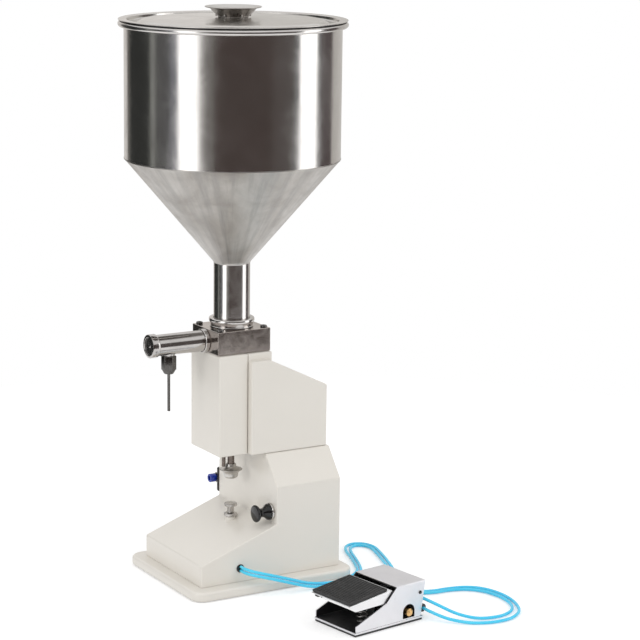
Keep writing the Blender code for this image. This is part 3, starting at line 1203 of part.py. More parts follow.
def build_pedal():
    """The foot pedal, on an empty that stands at its front edge."""
    pedal = bpy.data.objects.new("pedal_frame", None)
    PARTS.objects.link(pedal)
    pedal.matrix_basis = Matrix.Translation((PEDAL_X, PEDAL_Y, 0.0)) @ Matrix.Rotation(PEDAL_TURN, 4, "Z")
    base_low = PEDAL_MAT_THICKNESS + FIT_GAP
    base_high = base_low + PEDAL_BASE_THICKNESS
    mat_half = PEDAL_HALF_WIDTH - PEDAL_MAT_INSET
    black(box("pedal_mat", (-mat_half, PEDAL_MAT_INSET, 0.0),
              (mat_half, PEDAL_LENGTH - PEDAL_MAT_INSET, PEDAL_MAT_THICKNESS), parent=pedal))
    alloy(box("pedal_base", (-PEDAL_HALF_WIDTH, 0.0, base_low), (PEDAL_HALF_WIDTH, PEDAL_LENGTH, base_high),
              parent=pedal))
    floor = base_high + FIT_GAP
    build_pedal_cover(pedal, floor)
    build_pedal_lever(pedal)
    build_pedal_valve(pedal, floor)


def build_pedal_cover(pedal, floor):
    """The sheet cover: two sides, rear wall and top plate, open at the front."""
    side = [(PEDAL_SIDE_FRONT, floor), (PEDAL_LENGTH, floor), (PEDAL_LENGTH, PEDAL_HEIGHT),
            (PEDAL_TOP_FRONT, PEDAL_HEIGHT), (PEDAL_KNEE_Y, PEDAL_KNEE_Z),
            (PEDAL_SIDE_FRONT, PEDAL_SIDE_FRONT_TOP)]
    cover = outline_solid("pedal_cover", side, "X", -PEDAL_HALF_WIDTH, PEDAL_HALF_WIDTH, parent=pedal)
    half = PEDAL_HALF_WIDTH - PEDAL_SHEET
    cut(cover, box("pedal_hollow", (-half, -CUT_OVERRUN, 0.0),
                   (half, PEDAL_LENGTH - PEDAL_SHEET, PEDAL_HEIGHT - PEDAL_SHEET), parent=pedal))
    arch = [(ARCH_Y - ARCH_HALF_WIDTH, ARCH_BOTTOM_Z), (ARCH_Y + ARCH_HALF_WIDTH, ARCH_BOTTOM_Z)]
    arch += arc((ARCH_Y, ARCH_SPRING_Z), ARCH_HALF_WIDTH, 0, 180, ARC_STEPS)
    cut(cover, outline_solid("arch_hole", arch, "X", half - CUT_OVERRUN, PEDAL_HALF_WIDTH + CUT_OVERRUN,
                             parent=pedal))
    sideways = Matrix.Rotation(math.radians(90), 4, "Y")
    hinge = Matrix.Translation((0.0, HINGE_Y, HINGE_Z)) @ sideways
    reach = PEDAL_HALF_WIDTH + CUT_OVERRUN
    cut(cover, rod("hinge_holes", HINGE_PIN_RADIUS + FIT_GAP, -reach, reach, hinge, pedal))
    screws = Matrix.Translation((0.0, SIDE_SCREW_Y, SIDE_SCREW_Z)) @ sideways
    cut(cover, rod("side_screw_holes", SIDE_SCREW_SHANK_RADIUS + FIT_GAP, -reach, reach, screws, pedal))
    for name, x, z in (("low", ELBOW_LOW_X, ELBOW_LOW_Z), ("high", ELBOW_HIGH_X, ELBOW_HIGH_Z)):
        back = frame_of((x, PEDAL_LENGTH, z), (1, 0, 0), (0, 1, 0))
        cut(cover, rod(name + "_elbow_hole", ELBOW_STEM_RADIUS + FIT_GAP, -PEDAL_SHEET - CUT_OVERRUN,
                       CUT_OVERRUN, back, pedal))
    alloy(cover)
    pin_end = PEDAL_HALF_WIDTH + FIT_GAP
    head_end = pin_end + HINGE_PIN_HEAD
    pin = ((0.0, head_end), (HINGE_PIN_HEAD_RADIUS, head_end), (HINGE_PIN_HEAD_RADIUS, pin_end),
           (HINGE_PIN_RADIUS, pin_end), (HINGE_PIN_RADIUS, -PEDAL_HALF_WIDTH), (0.0, -PEDAL_HALF_WIDTH))
    steel(turned("pedal_hinge_pin", pin, hinge, pedal, SMALL_STEPS))
    for number, turn in ((1, sideways), (2, sideways.inverted())):
        place = Matrix.Translation((0.0, SIDE_SCREW_Y, SIDE_SCREW_Z)) @ turn
        low = PEDAL_HALF_WIDTH + FIT_GAP
        high = low + SIDE_SCREW_HEAD
        tip = low - SIDE_SCREW_LENGTH
        crown = SIDE_SCREW_RADIUS * SIDE_SCREW_CROWN_SHARE
        profile = ((0.0, high), (crown, high), (SIDE_SCREW_RADIUS, low + SIDE_SCREW_HEAD / 2),
                   (SIDE_SCREW_RADIUS, low), (SIDE_SCREW_SHANK_RADIUS, low), (SIDE_SCREW_SHANK_RADIUS, tip),
                   (0.0, tip))
        black(turned("pedal_side_screw_{}".format(number), profile, place, pedal, SMALL_STEPS))


def build_pedal_lever(pedal):
    """The lever tray on its hinge pin and the ribbed pad on top of it."""
    lever_frame = bpy.data.objects.new("lever_frame", None)
    PARTS.objects.link(lever_frame)
    lever_frame.parent = pedal
    lever_frame.matrix_basis = Matrix.Translation((0.0, HINGE_Y, HINGE_Z)) @ Matrix.Rotation(LEVER_TILT, 4, "X")
    plate_top = LEVER_PLATE_Z + LEVER_SHEET
    front = -LEVER_FRONT
    drop = plate_top - LEVER_FLANGE_FRONT_DROP
    side = [(-LEVER_REAR, plate_top), (front, plate_top), (front, plate_top - LEVER_LIP_DROP),
            (front + LEVER_FLANGE_FRONT_BACK, drop)]
    side += arc((0.0, 0.0), LEVER_KNUCKLE_RADIUS, -90, 60)
    lever = outline_solid("pedal_lever", side, "X", -LEVER_HALF_WIDTH, LEVER_HALF_WIDTH, parent=lever_frame)
    half = LEVER_HALF_WIDTH - LEVER_SHEET
    cut(lever, box("lever_hollow", (-half, front + LEVER_SHEET, -LEVER_FRONT),
                   (half, LEVER_KNUCKLE_RADIUS + CUT_OVERRUN, LEVER_PLATE_Z), parent=lever_frame))
    sideways = Matrix.Rotation(math.radians(90), 4, "Y")
    reach = LEVER_HALF_WIDTH + CUT_OVERRUN
    cut(lever, rod("lever_pin_holes", HINGE_PIN_RADIUS + FIT_GAP, -reach, reach, sideways, lever_frame))
    stud_hole = PAD_STUD_RADIUS + FIT_GAP
    for number in (0, 1):
        place = stud_place(number, 0.0)
        cut(lever, rod("stud_hole_{}".format(number), stud_hole, plate_top - LEVER_FLANGE_FRONT_DROP,
                       plate_top + CUT_OVERRUN, place, lever_frame))
    alloy(lever)
    pad_low = plate_top + FIT_GAP
    pad_high = pad_low + PEDAL_PAD_THICKNESS
    pad_half = LEVER_HALF_WIDTH - PEDAL_PAD_INSET
    pad = box("pedal_pad", (-pad_half, front + PEDAL_PAD_INSET, pad_low),
              (pad_half, -PEDAL_PAD_REAR, pad_high), parent=lever_frame)
    pitch = (LEVER_FRONT - PEDAL_PAD_INSET - PEDAL_PAD_REAR) / (PAD_RIB_COUNT + 1)
    for rib in range(PAD_RIB_COUNT):
        middle = front + PEDAL_PAD_INSET + pitch * (rib + 1)
        cut(pad, box("pad_groove_{}".format(rib), (-pad_half - CUT_OVERRUN, middle - PAD_RIB_WIDTH / 2,
                                                  pad_high - PAD_RIB_DEPTH),
                     (pad_half + CUT_OVERRUN, middle + PAD_RIB_WIDTH / 2, pad_high + CUT_OVERRUN),
                     parent=lever_frame))
    for number in (0, 1):
        join(pad, rod("pad_stud_{}".format(number), PAD_STUD_RADIUS, pad_low - PAD_STUD_LENGTH,
                      pad_low + PAD_RIB_DEPTH, stud_place(number, 0.0), lever_frame, steps=12))
    black(pad)


def stud_place(number, height):
    """Place of a pad stud near the lever's front left corner."""
    x = -LEVER_HALF_WIDTH + PAD_STUD_INSET + LEVER_SHEET + number * PAD_STUD_PITCH
    return Matrix.Translation((x, -LEVER_FRONT + PAD_STUD_INSET, height))


def build_pedal_valve(pedal, floor):
    """The valve under the cover: body, plunger, return spring, silencer and two elbows."""
    low = floor
    body = box("pedal_valve_body", (-VALVE_BODY_LEFT, VALVE_BODY_FRONT, low),
               (VALVE_BODY_RIGHT, VALVE_BODY_REAR, VALVE_BODY_TOP), parent=pedal)
    plunger_place = Matrix.Translation((PLUNGER_X, PLUNGER_Y, 0.0))
    socket_low = VALVE_BODY_TOP - PLUNGER_SOCKET
    cut(body, rod("plunger_socket", PLUNGER_RADIUS + FIT_GAP, socket_low, VALVE_BODY_TOP + CUT_OVERRUN,
                  plunger_place, pedal))
    alloy(body)
    stroke_room = PLUNGER_SOCKET / 2
    steel(rod("pedal_plunger", PLUNGER_RADIUS, socket_low + stroke_room, PLUNGER_TOP, plunger_place, pedal))
    spring_place = Matrix.Translation((RETURN_SPRING_X, RETURN_SPRING_Y, 0.0))
    steel(coil_spring("pedal_return_spring", RETURN_SPRING_RADIUS, RETURN_SPRING_WIRE, floor,
                      floor + RETURN_SPRING_LENGTH, RETURN_SPRING_TURNS, spring_place, pedal))
    sideways = Matrix.Translation((VALVE_BODY_RIGHT + FIT_GAP, ARCH_Y, SILENCER_Z)) @ Matrix.Rotation(
        math.radians(90), 4, "Y")
    end = SILENCER_LENGTH
    tip = end - SILENCER_TIP_LENGTH
    profile = ((0.0, end), (SILENCER_TIP_RADIUS, end), (SILENCER_RADIUS, tip),
               (SILENCER_RADIUS, SILENCER_HEX_LENGTH), (0.0, SILENCER_HEX_LENGTH))
    silencer = turned("pedal_silencer", profile, sideways, pedal, SMALL_STEPS)
    join(silencer, rod("silencer_hex", SILENCER_HEX_RADIUS, 0.0, SILENCER_HEX_LENGTH + FIT_GAP, sideways, pedal,
                       HEX_STEPS))
    brass(silencer)
    stem = ELBOW_BEHIND + PEDAL_LENGTH - VALVE_BODY_REAR - FIT_GAP
    sizes = {"stem_radius": ELBOW_STEM_RADIUS, "stem_length": stem,
             "barrel_radius": ELBOW_RADIUS, "barrel_length": ELBOW_BARREL_LENGTH,
             "collar_radius": ELBOW_COLLAR_RADIUS, "collar_length": ELBOW_COLLAR_LENGTH,
             "hex_radius": ELBOW_COLLAR_RADIUS, "hex_length": ELBOW_STEM_INTO, "hex_start": ELBOW_RADIUS - FIT_GAP,
             "socket_radius": ELBOW_SOCKET_RADIUS, "socket_depth": ELBOW_SOCKET_DEPTH}
    for name, x, z in (("pedal_elbow_low", ELBOW_LOW_X, ELBOW_LOW_Z), ("pedal_elbow_high", ELBOW_HIGH_X, ELBOW_HIGH_Z)):
        place = frame_of((x, PEDAL_LENGTH + ELBOW_BEHIND, z), (1, 0, 0), (0, 1, 0))
        black(elbow_body(name, place, pedal, sizes))


def main():
    """Build every piece of the machine."""
    clear_scene()
    build_base()
    build_lower_housing()
    build_upper_housing()
    build_front_cover()
    build_valve_block()
    build_metering()
    build_air_cylinder()
    build_rod_and_nut()
    build_stop()
    build_throttle()
    build_air_inlet()
    build_outlet()
    build_nozzle()
    build_inlet_valve()
    build_hopper()
    build_lid()
    build_hoses()
    build_pedal()
    bpy.context.view_layer.update()


main()
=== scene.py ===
"""Looks of the filling machine with its conical hopper and foot pedal.

Metres, +Z up. The front of the machine, where the nozzle is, faces -Y, and the hopper's axis is X = 0, Y = 0.
"""
import logging
import math
from dataclasses import dataclass
from enum import Enum
from typing import Callable, Iterable, Sequence

import bmesh
import bpy
from mathutils import Matrix, Vector


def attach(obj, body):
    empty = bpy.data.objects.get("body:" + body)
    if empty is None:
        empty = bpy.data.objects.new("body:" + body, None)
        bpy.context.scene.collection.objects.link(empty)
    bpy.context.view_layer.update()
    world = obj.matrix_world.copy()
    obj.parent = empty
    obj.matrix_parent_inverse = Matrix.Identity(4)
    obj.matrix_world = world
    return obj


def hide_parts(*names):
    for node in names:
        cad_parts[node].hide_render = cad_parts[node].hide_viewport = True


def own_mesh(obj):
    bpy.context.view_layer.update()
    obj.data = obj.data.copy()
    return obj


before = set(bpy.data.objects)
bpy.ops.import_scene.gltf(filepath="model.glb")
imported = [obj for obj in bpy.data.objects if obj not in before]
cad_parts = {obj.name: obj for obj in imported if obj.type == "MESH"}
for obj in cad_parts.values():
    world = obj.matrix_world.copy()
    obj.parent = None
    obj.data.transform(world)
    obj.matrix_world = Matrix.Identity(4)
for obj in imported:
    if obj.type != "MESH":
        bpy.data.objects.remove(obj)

LOG = logging.getLogger("filling_machine")
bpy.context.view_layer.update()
WELD = 0.000002
GAP = 0.0003
OVERRUN = 0.003
FINE_STEPS = 144
ROUND_STEPS = 72
HEX_STEPS = 6
SIDEWAYS = Matrix.Rotation(math.radians(90), 4, "Y")
AIR_PORT = Matrix.Translation((0.0, 0.07, 0.0))
OUTLET_HEIGHT = 0.311
THROTTLE_SPOT = (0.094, 0.062)
BULKHEAD_SPOT = (0.077, -0.0283, 0.0308)
INLET_SPOT = (-0.077, 0.045, 0.101)
SCREW_SPOTS = ((-0.0277, -0.0313), (-0.0277, 0.0309), (0.0277, -0.0313), (0.0277, 0.0309))

Colour = tuple[float, float, float]
Point = tuple[float, float, float]
Profile = Sequence[tuple[float, float]]
Setting = bpy.types.NodeSocket | float | tuple | Vector


# ---------------------------------------------------------------------------- materials

class Grain(Enum):
    """Direction of a surface's fine tool marks, as the stretch of a pattern along X, Y and Z."""

    ROUND_Z = (0.03, 0.03, 1.0)
    ROUND_Y = (0.03, 1.0, 0.03)
    ALONG_X = (0.03, 1.0, 1.0)
    ALONG_Y = (1.0, 0.03, 1.0)
    CAST = (1.0, 1.0, 1.0)


class Recipe:
    """The node tree of a material, group or world while it is laid out."""

    def __init__(self, tree: bpy.types.NodeTree) -> None:
        """Start on an empty tree.

        Args:
            tree: the tree to fill; its default nodes are removed.
        """
        self.tree = tree
        tree.nodes.clear()

    def add(self, kind: str, values: dict[str | int, Setting] | None = None,
            **settings: object) -> bpy.types.Node:
        """Add a node, set its options and fill or link its inputs.

        Args:
            kind: the node's type name.
            values: what goes into each input, a constant or another node's output.
            settings: options of the node itself.

        Returns:
            The new node.
        """
        node = self.tree.nodes.new(kind)
        for key, value in settings.items():
            setattr(node, key, value)
        for key, value in (values or {}).items():
            if isinstance(value, bpy.types.NodeSocket):
                self.tree.links.new(value, node.inputs[key])
            else:
                node.inputs[key].default_value = value
        return node

    def mix(self, share: Setting, first: Setting, second: Setting) -> bpy.types.NodeSocket:
        """The blend of two colours, with this share of the second one."""
        return self.add("ShaderNodeMix", {0: share, 6: first, 7: second}, data_type="RGBA").outputs[2]

    def spread(self, value: Setting, source: tuple[float, float], low: Setting,
               high: Setting) -> bpy.types.NodeSocket:
        """A value mapped from its source range to the one from low to high, and held at the ends."""
        return self.add("ShaderNodeMapRange", {0: value, 1: source[0], 2: source[1], 3: low,
                                               4: high}).outputs[0]

    def maths(self, operation: str, first: Setting, second: Setting = 0.0) -> bpy.types.NodeSocket:
        """The result of one sum on two values."""
        return self.add("ShaderNodeMath", {0: first, 1: second}, operation=operation).outputs[0]

    def vectors(self, operation: str, first: Setting, second: Setting = (0.0, 0.0,
                                                                         0.0)) -> bpy.types.NodeSocket:
        """The result of one sum on two vectors."""
        return self.add("ShaderNodeVectorMath", {0: first, 1: second}, operation=operation).outputs[0]

    def noise(self, where: Setting, scale: Setting, detail: float, rough: float = 0.5,
              warp: float = 0.0) -> bpy.types.NodeSocket:
        """The strength of a cloudy pattern."""
        return self.add("ShaderNodeTexNoise", {"Vector": where, "Scale": scale, "Detail": detail,
                                               "Roughness": rough,
                                               "Distortion": warp}).outputs["Fac"]

    def effect(self, name: str, values: dict[str | int, Setting]) -> bpy.types.NodeSocket:
        """What a shared group gives when it is placed in this tree with these inputs."""
        return self.add("ShaderNodeGroup", values, node_tree=Effects.group(name)).outputs[0]


def new_material(title: str) -> tuple[bpy.types.Material, Recipe]:
    """A material with an empty node tree, and its layout."""
    made = bpy.data.materials.new(title)
    made.use_nodes = True
    return made, Recipe(made.node_tree)


class Effects:
    """Shared shader groups, each built once and placed in every material that uses it."""

    COLOUR = "NodeSocketColor"
    FLOAT = "NodeSocketFloat"
    VECTOR = "NodeSocketVector"

    @classmethod
    def group(cls, name: str) -> bpy.types.NodeTree:
        """Find a group, or build it the first time.

        Args:
            name: the group's name, that of the method that fills it.

        Returns:
            The group.
        """
        found = bpy.data.node_groups.get(name)
        if found is None:
            found = bpy.data.node_groups.new(name, "ShaderNodeTree")
            getattr(cls, name)(Recipe(found))
        return found

    @staticmethod
    def sockets(recipe: Recipe, inputs: dict[str, str], outputs: dict[str, str]) -> dict[str,
                                                                                         bpy.types.NodeSocket]:
        """Declare a group's named inputs and outputs.

        Args:
            recipe: the layout of the group.
            inputs: type of each input by its name.
            outputs: type of each output by its name.

        Returns:
            What the group is given, by name.
        """
        for way, named in (("INPUT", inputs), ("OUTPUT", outputs)):
            for name, kind in named.items():
                recipe.tree.interface.new_socket(name=name, in_out=way, socket_type=kind)
        return {socket.name: socket for socket in recipe.add("NodeGroupInput").outputs if socket.name}

    @classmethod
    def tool_marks(cls, recipe: Recipe) -> None:
        """Fine lines or grains, stretched along the way that the surface was worked.

        Args:
            recipe: the layout of the empty group.
        """
        given = cls.sockets(recipe, {"Vector": cls.VECTOR, "Stretch": cls.VECTOR, "Scale": cls.FLOAT},
                            {"Height": cls.FLOAT})
        stretched = recipe.vectors("MULTIPLY", given["Vector"], given["Stretch"])
        recipe.add("NodeGroupOutput", {"Height": recipe.noise(stretched, given["Scale"], 4.0, 0.6)})

    @classmethod
    def toning(cls, recipe: Recipe) -> None:
        """Slow drift between two close colours.

        Args:
            recipe: the layout of the empty group.
        """
        given = cls.sockets(recipe, {"Vector": cls.VECTOR, "Scale": cls.FLOAT, "Colour": cls.COLOUR,
                                     "Tint": cls.COLOUR}, {"Colour": cls.COLOUR})
        share = recipe.spread(recipe.noise(given["Vector"], given["Scale"], 5.0, 0.55, 0.4), (0.35, 0.65),
                              0.0, 1.0)
        recipe.add("NodeGroupOutput", {"Colour": recipe.mix(share, given["Colour"], given["Tint"])})

    @classmethod
    def handling(cls, recipe: Recipe) -> None:
        """Wiped and touched areas, which shine less or more than the rest.

        Args:
            recipe: the layout of the empty group.
        """
        given = cls.sockets(recipe, {"Vector": cls.VECTOR, "Scale": cls.FLOAT, "Low": cls.FLOAT,
                                     "High": cls.FLOAT}, {"Roughness": cls.FLOAT})
        patches = recipe.noise(given["Vector"], given["Scale"], 6.0, 0.7, 0.8)
        value = recipe.spread(patches, (0.38, 0.68), given["Low"], given["High"])
        recipe.add("NodeGroupOutput", {"Roughness": value})

    @classmethod
    def rays_from_axis(cls, recipe: Recipe) -> None:
        """Streaks that run down a cone towards its tip, from a pattern on the direction from its axis.

        Args:
            recipe: the layout of the empty group.
        """
        given = cls.sockets(recipe, {"Vector": cls.VECTOR, "Count": cls.FLOAT}, {"Mask": cls.FLOAT})
        outward = recipe.vectors("NORMALIZE", recipe.vectors("MULTIPLY", given["Vector"], (1.0, 1.0, 0.0)))
        drift = recipe.vectors("MULTIPLY", given["Vector"], (0.0, 0.0, 1.3))
        place = recipe.vectors("ADD", outward, drift)
        recipe.add("NodeGroupOutput", {"Mask": recipe.noise(place, given["Count"], 5.0, 0.65)})

    @classmethod
    def specks(cls, recipe: Recipe) -> None:
        """Sparse small spots, as of pores, dust or grains.

        Args:
            recipe: the layout of the empty group.
        """
        given = cls.sockets(recipe, {"Vector": cls.VECTOR, "Scale": cls.FLOAT, "Size": cls.FLOAT},
                            {"Mask": cls.FLOAT})
        cells = recipe.add("ShaderNodeTexVoronoi", {"Vector": given["Vector"], "Scale": given["Scale"]})
        near = recipe.maths("LESS_THAN", cells.outputs["Distance"], given["Size"])
        recipe.add("NodeGroupOutput", {"Mask": near})


@dataclass(frozen=True)
class Finish:
    """A surface finish; each kind lays out its own shader.

    Attributes:
        name: the material's name.
        slot: the record's material slot that it belongs to; not used.
        colour: main colour, linear.
        tint: the colour that it drifts towards.
        shine: lowest and highest roughness.
        grain: way of the tool marks.
        grain_scale: how fine these are, per metre.
        grain_depth: their height in metres.
        tone_scale: size of the colour's drift, per metre.
        metallic: 1 for bare metal.
        coat: strength of a clear top layer.
    """

    name: str
    slot: str
    colour: Colour
    tint: Colour
    shine: tuple[float, float] = (0.3, 0.45)
    grain: Grain = Grain.CAST
    grain_scale: float = 900.0
    grain_depth: float = 0.00002
    tone_scale: float = 9.0
    metallic: float = 0.0
    coat: float = 0.0

    def surface_colour(self, recipe: Recipe, where: bpy.types.NodeSocket) -> bpy.types.NodeSocket:
        """The colour at the object coordinates, in the material's layout."""
        return recipe.effect("toning", {"Vector": where, "Scale": self.tone_scale,
                                        "Colour": (*self.colour, 1.0), "Tint": (*self.tint, 1.0)})

    def height(self, recipe: Recipe, where: bpy.types.NodeSocket) -> bpy.types.NodeSocket:
        """The relief, 0 to 1, at the object coordinates, in the material's layout."""
        return recipe.effect("tool_marks", {"Vector": where, "Stretch": self.grain.value,
                                            "Scale": self.grain_scale})

    def finish_shader(self, shader: bpy.types.Node) -> None:
        """Set what only one kind of finish needs on its shader."""

    def material(self) -> bpy.types.Material:
        """Build the material once.

        Returns:
            The material.
        """
        title = "finish_" + self.name
        found = bpy.data.materials.get(title)
        if found is not None:
            return found
        made, recipe = new_material(title)
        where = recipe.add("ShaderNodeTexCoord").outputs["Object"]
        rough = recipe.effect("handling", {"Vector": where, "Scale": self.tone_scale * 2.3,
                                           "Low": self.shine[0], "High": self.shine[1]})
        bump = recipe.add("ShaderNodeBump", {"Height": self.height(recipe, where), "Strength": 1.0,
                                             "Distance": self.grain_depth})
        shader = recipe.add("ShaderNodeBsdfPrincipled", {
            "Base Color": self.surface_colour(recipe, where), "Roughness": rough, "Normal": bump.outputs[0],
            "Metallic": self.metallic, "Coat Weight": self.coat, "Coat Roughness": 0.12})
        self.finish_shader(shader)
        recipe.add("ShaderNodeOutputMaterial", {"Surface": shader.outputs[0]})
        return made


@dataclass(frozen=True)
class StreakedSteel(Finish):
    """Steel that was ground from the rim of a cone to its tip, with dark and pale streaks down it."""

    streak: Colour = (0.30, 0.29, 0.28)
    streak_count: float = 9.0

    def surface_colour(self, recipe: Recipe, where: bpy.types.NodeSocket) -> bpy.types.NodeSocket:
        """Lay out the colour with its streaks.

        Args:
            recipe: the material's layout.
            where: object coordinates.

        Returns:
            The colour.
        """
        plain = super().surface_colour(recipe, where)
        rays = recipe.effect("rays_from_axis", {"Vector": where, "Count": self.streak_count})
        share = recipe.spread(rays, (0.45, 0.75), 0.0, 0.8)
        return recipe.mix(share, plain, (*self.streak, 1.0))

    def height(self, recipe: Recipe, where: bpy.types.NodeSocket) -> bpy.types.NodeSocket:
        """The relief of the grinding marks, 0 to 1, in the material's layout."""
        return recipe.effect("rays_from_axis", {"Vector": where, "Count": self.grain_scale})


@dataclass(frozen=True)
class GrainyMetal(Finish):
    """Metal made of fused grains, such as the silencer's."""

    def surface_colour(self, recipe: Recipe, where: bpy.types.NodeSocket) -> bpy.types.NodeSocket:
        """Lay out the colour with dark pores.

        Args:
            recipe: the material's layout.
            where: object coordinates.

        Returns:
            The colour.
        """
        plain = super().surface_colour(recipe, where)
        pores = recipe.effect("specks", {"Vector": where, "Scale": self.grain_scale, "Size": 0.28})
        return recipe.mix(pores, plain, tuple(0.35 * part for part in self.colour) + (1.0,))


@dataclass(frozen=True)
class HoseSkin(Finish):
    """Soft clear-blue hose wall that lets some light through."""

    def finish_shader(self, shader: bpy.types.Node) -> None:
        """Let light in below the surface.

        Args:
            shader: the material's shader.
        """
        shader.inputs["Subsurface Weight"].default_value = 0.35
        shader.inputs["Subsurface Scale"].default_value = 0.002
        shader.inputs["Subsurface Radius"].default_value = (0.4, 0.9, 1.0)


PAINT = Finish("cream_paint", "paint", (0.80, 0.765, 0.705), (0.775, 0.74, 0.68), (0.28, 0.42), Grain.CAST,
               260.0, 0.00006, 5.0, coat=0.25)
MIRROR_STEEL = Finish("polished_steel", "polished_steel", (0.62, 0.60, 0.585), (0.55, 0.53, 0.51),
                      (0.14, 0.24),
                      Grain.ROUND_Z, 700.0, 0.00002, 9.0, 1.0)
TURNED_STEEL = Finish("turned_steel", "polished_steel", (0.54, 0.52, 0.505), (0.45, 0.43, 0.415), (0.12, 0.2),
                      Grain.ROUND_Y, 1600.0, 0.000006, 20.0, 1.0)
CONE_STEEL = StreakedSteel("ground_cone_steel", "satin_steel", (0.52, 0.50, 0.475), (0.34, 0.315, 0.29),
                           (0.30, 0.46),
                           grain_scale=160.0, grain_depth=0.00003, tone_scale=17.0, metallic=1.0)
SATIN_STEEL = Finish("satin_steel", "satin_steel", (0.60, 0.585, 0.56), (0.53, 0.51, 0.485), (0.28, 0.40),
                     Grain.ROUND_Z, 1400.0, 0.00001, 12.0, 1.0)
BLOCK_STEEL = Finish("ground_block_steel", "polished_steel", (0.52, 0.475, 0.445), (0.42, 0.375, 0.345),
                     (0.12, 0.2),
                     Grain.ALONG_Y, 1500.0, 0.000008, 30.0, 1.0)
LID_STEEL = Finish("pressed_lid_steel", "satin_steel", (0.62, 0.60, 0.575), (0.55, 0.525, 0.50), (0.16, 0.26),
                   Grain.ROUND_Z, 1400.0, 0.00001, 12.0, 1.0)
# Rod steel: dark steel whose colour is darkened further and browned to paint in the dark brown reflection that
# the rod and pin show.
ROD_STEEL_PAINTED_REFLECTION = Finish("rod_steel_painted_dark_reflection", "dark_steel", (0.21, 0.175, 0.155), (0.155, 0.13, 0.115), (0.24, 0.36),
                   Grain.CAST, 1600.0, 0.00001, 40.0, 1.0)
DARK_STEEL = Finish("dark_steel", "dark_steel", (0.15, 0.145, 0.14), (0.105, 0.10, 0.095), (0.22, 0.36),
                    Grain.CAST, 1800.0, 0.000015, 40.0, 1.0)
KNOB_STEEL = Finish("mottled_knob_steel", "satin_steel", (0.62, 0.60, 0.58), (0.36, 0.34, 0.32), (0.26, 0.42),
                    Grain.CAST, 700.0, 0.00002, 55.0, 1.0)
SPRING_STEEL = Finish("spring_steel", "spring_steel", (0.42, 0.41, 0.40), (0.33, 0.32, 0.31), (0.24, 0.34),
                      Grain.CAST, 2500.0, 0.000006, 60.0, 1.0)
ALUMINIUM = Finish("bead_blasted_aluminium", "aluminium", (0.78, 0.775, 0.80), (0.73, 0.725, 0.75),
                   (0.32, 0.46),
                   Grain.CAST, 2600.0, 0.000012, 25.0, 1.0)
PLATE_ALUMINIUM = Finish("brushed_aluminium", "aluminium", (0.86, 0.86, 0.87), (0.80, 0.80, 0.81),
                         (0.34, 0.46),
                         Grain.ALONG_X, 2200.0, 0.00001, 30.0, 1.0)
RUBBER = Finish("black_rubber", "black_rubber", (0.018, 0.018, 0.019), (0.030, 0.030, 0.031), (0.5, 0.7),
                Grain.CAST, 1900.0, 0.00004, 45.0)
BLACK_PLASTIC = Finish("black_plastic", "black_plastic", (0.014, 0.014, 0.015), (0.022, 0.022, 0.023),
                       (0.2, 0.32),
                       Grain.CAST, 1500.0, 0.00001, 45.0, coat=0.3)
BRASS = GrainyMetal("sintered_brass", "brass", (0.88, 0.57, 0.26), (0.74, 0.46, 0.19), (0.35, 0.5),
                    Grain.CAST, 1500.0, 0.00008, 60.0, 1.0)
BLUE_PLASTIC = Finish("blue_plastic", "blue_plastic", (0.012, 0.045, 0.42), (0.010, 0.035, 0.34),
                      (0.22, 0.34),
                      Grain.CAST, 1500.0, 0.00001, 45.0, coat=0.2)
GLOSS_BLACK = Finish("gloss_black_plastic", "black_plastic", (0.004, 0.004, 0.0045), (0.006, 0.006, 0.0065),
                     (0.07, 0.14), Grain.CAST, 1500.0, 0.000002, 45.0)
# Painted shade: a near-black finish for the pedal's inner faces and base top, standing for the shade inside
# the cover and the shadow gap under its edges.
PAINTED_SHADE_BLACK = Finish("painted_shade_black", "black_plastic", (0.010, 0.010, 0.011), (0.016, 0.016, 0.017),
                     (0.45, 0.6),
                     Grain.CAST, 1500.0, 0.00001, 45.0)
HOSE_BLUE = HoseSkin("clear_blue_hose", "hose_plastic", (0.06, 0.64, 0.95), (0.10, 0.70, 0.97), (0.18, 0.28),
                     Grain.CAST, 900.0, 0.00001, 12.0, coat=0.2)


# ---------------------------------------------------------------------------- modelling

def arc(centre: tuple[float, float], radius: float, start: float, end: float,
        steps: int = 8) -> list[tuple[float, float]]:
    """Points of an arc.

    Args:
        centre: its centre.
        radius: its radius.
        start: first angle in degrees.
        end: last angle in degrees.
        steps: pieces that it is cut into.

    Returns:
        The points, from start to end.
    """
    turns = (math.radians(start + (end - start) * step / steps) for step in range(steps + 1))
    return [(centre[0] + radius * math.cos(turn), centre[1] + radius * math.sin(turn)) for turn in turns]


def frame_of(origin: Point, x_axis: Point, z_axis: Point) -> Matrix:
    """Frame with its X and Z axes along two given directions.

    Args:
        origin: its origin.
        x_axis: direction of X.
        z_axis: direction of Z.

    Returns:
        The frame.
    """
    across = Vector(z_axis).cross(Vector(x_axis))
    turn = Matrix((Vector(x_axis), across, Vector(z_axis))).transposed().to_4x4()
    return Matrix.Translation(origin) @ turn


def forward_frame(height: float, x: float = 0.0) -> Matrix:
    """Frame at this height and place across, whose Z runs forward."""
    return Matrix.Translation((x, 0.0, height)) @ Matrix.Rotation(math.radians(90), 4, "X")


def wall_frame(spot: Point) -> Matrix:
    """Frame at a spot on a side wall, whose Z runs out of the wall."""
    side = math.copysign(1.0, spot[0])
    return frame_of(spot, (0.0, side, 0.0), (side, 0.0, 0.0))


def linked(name: str, data: bpy.types.ID) -> bpy.types.Object:
    """A new object with this data, linked to the scene."""
    made = bpy.data.objects.new(name, data)
    bpy.context.scene.collection.objects.link(made)
    return made


def final_mesh(made: bpy.types.Object) -> bpy.types.Mesh:
    """A copy of an object's mesh as its modifiers leave it."""
    bpy.context.view_layer.update()
    return bpy.data.meshes.new_from_object(made.evaluated_get(bpy.context.evaluated_depsgraph_get()))


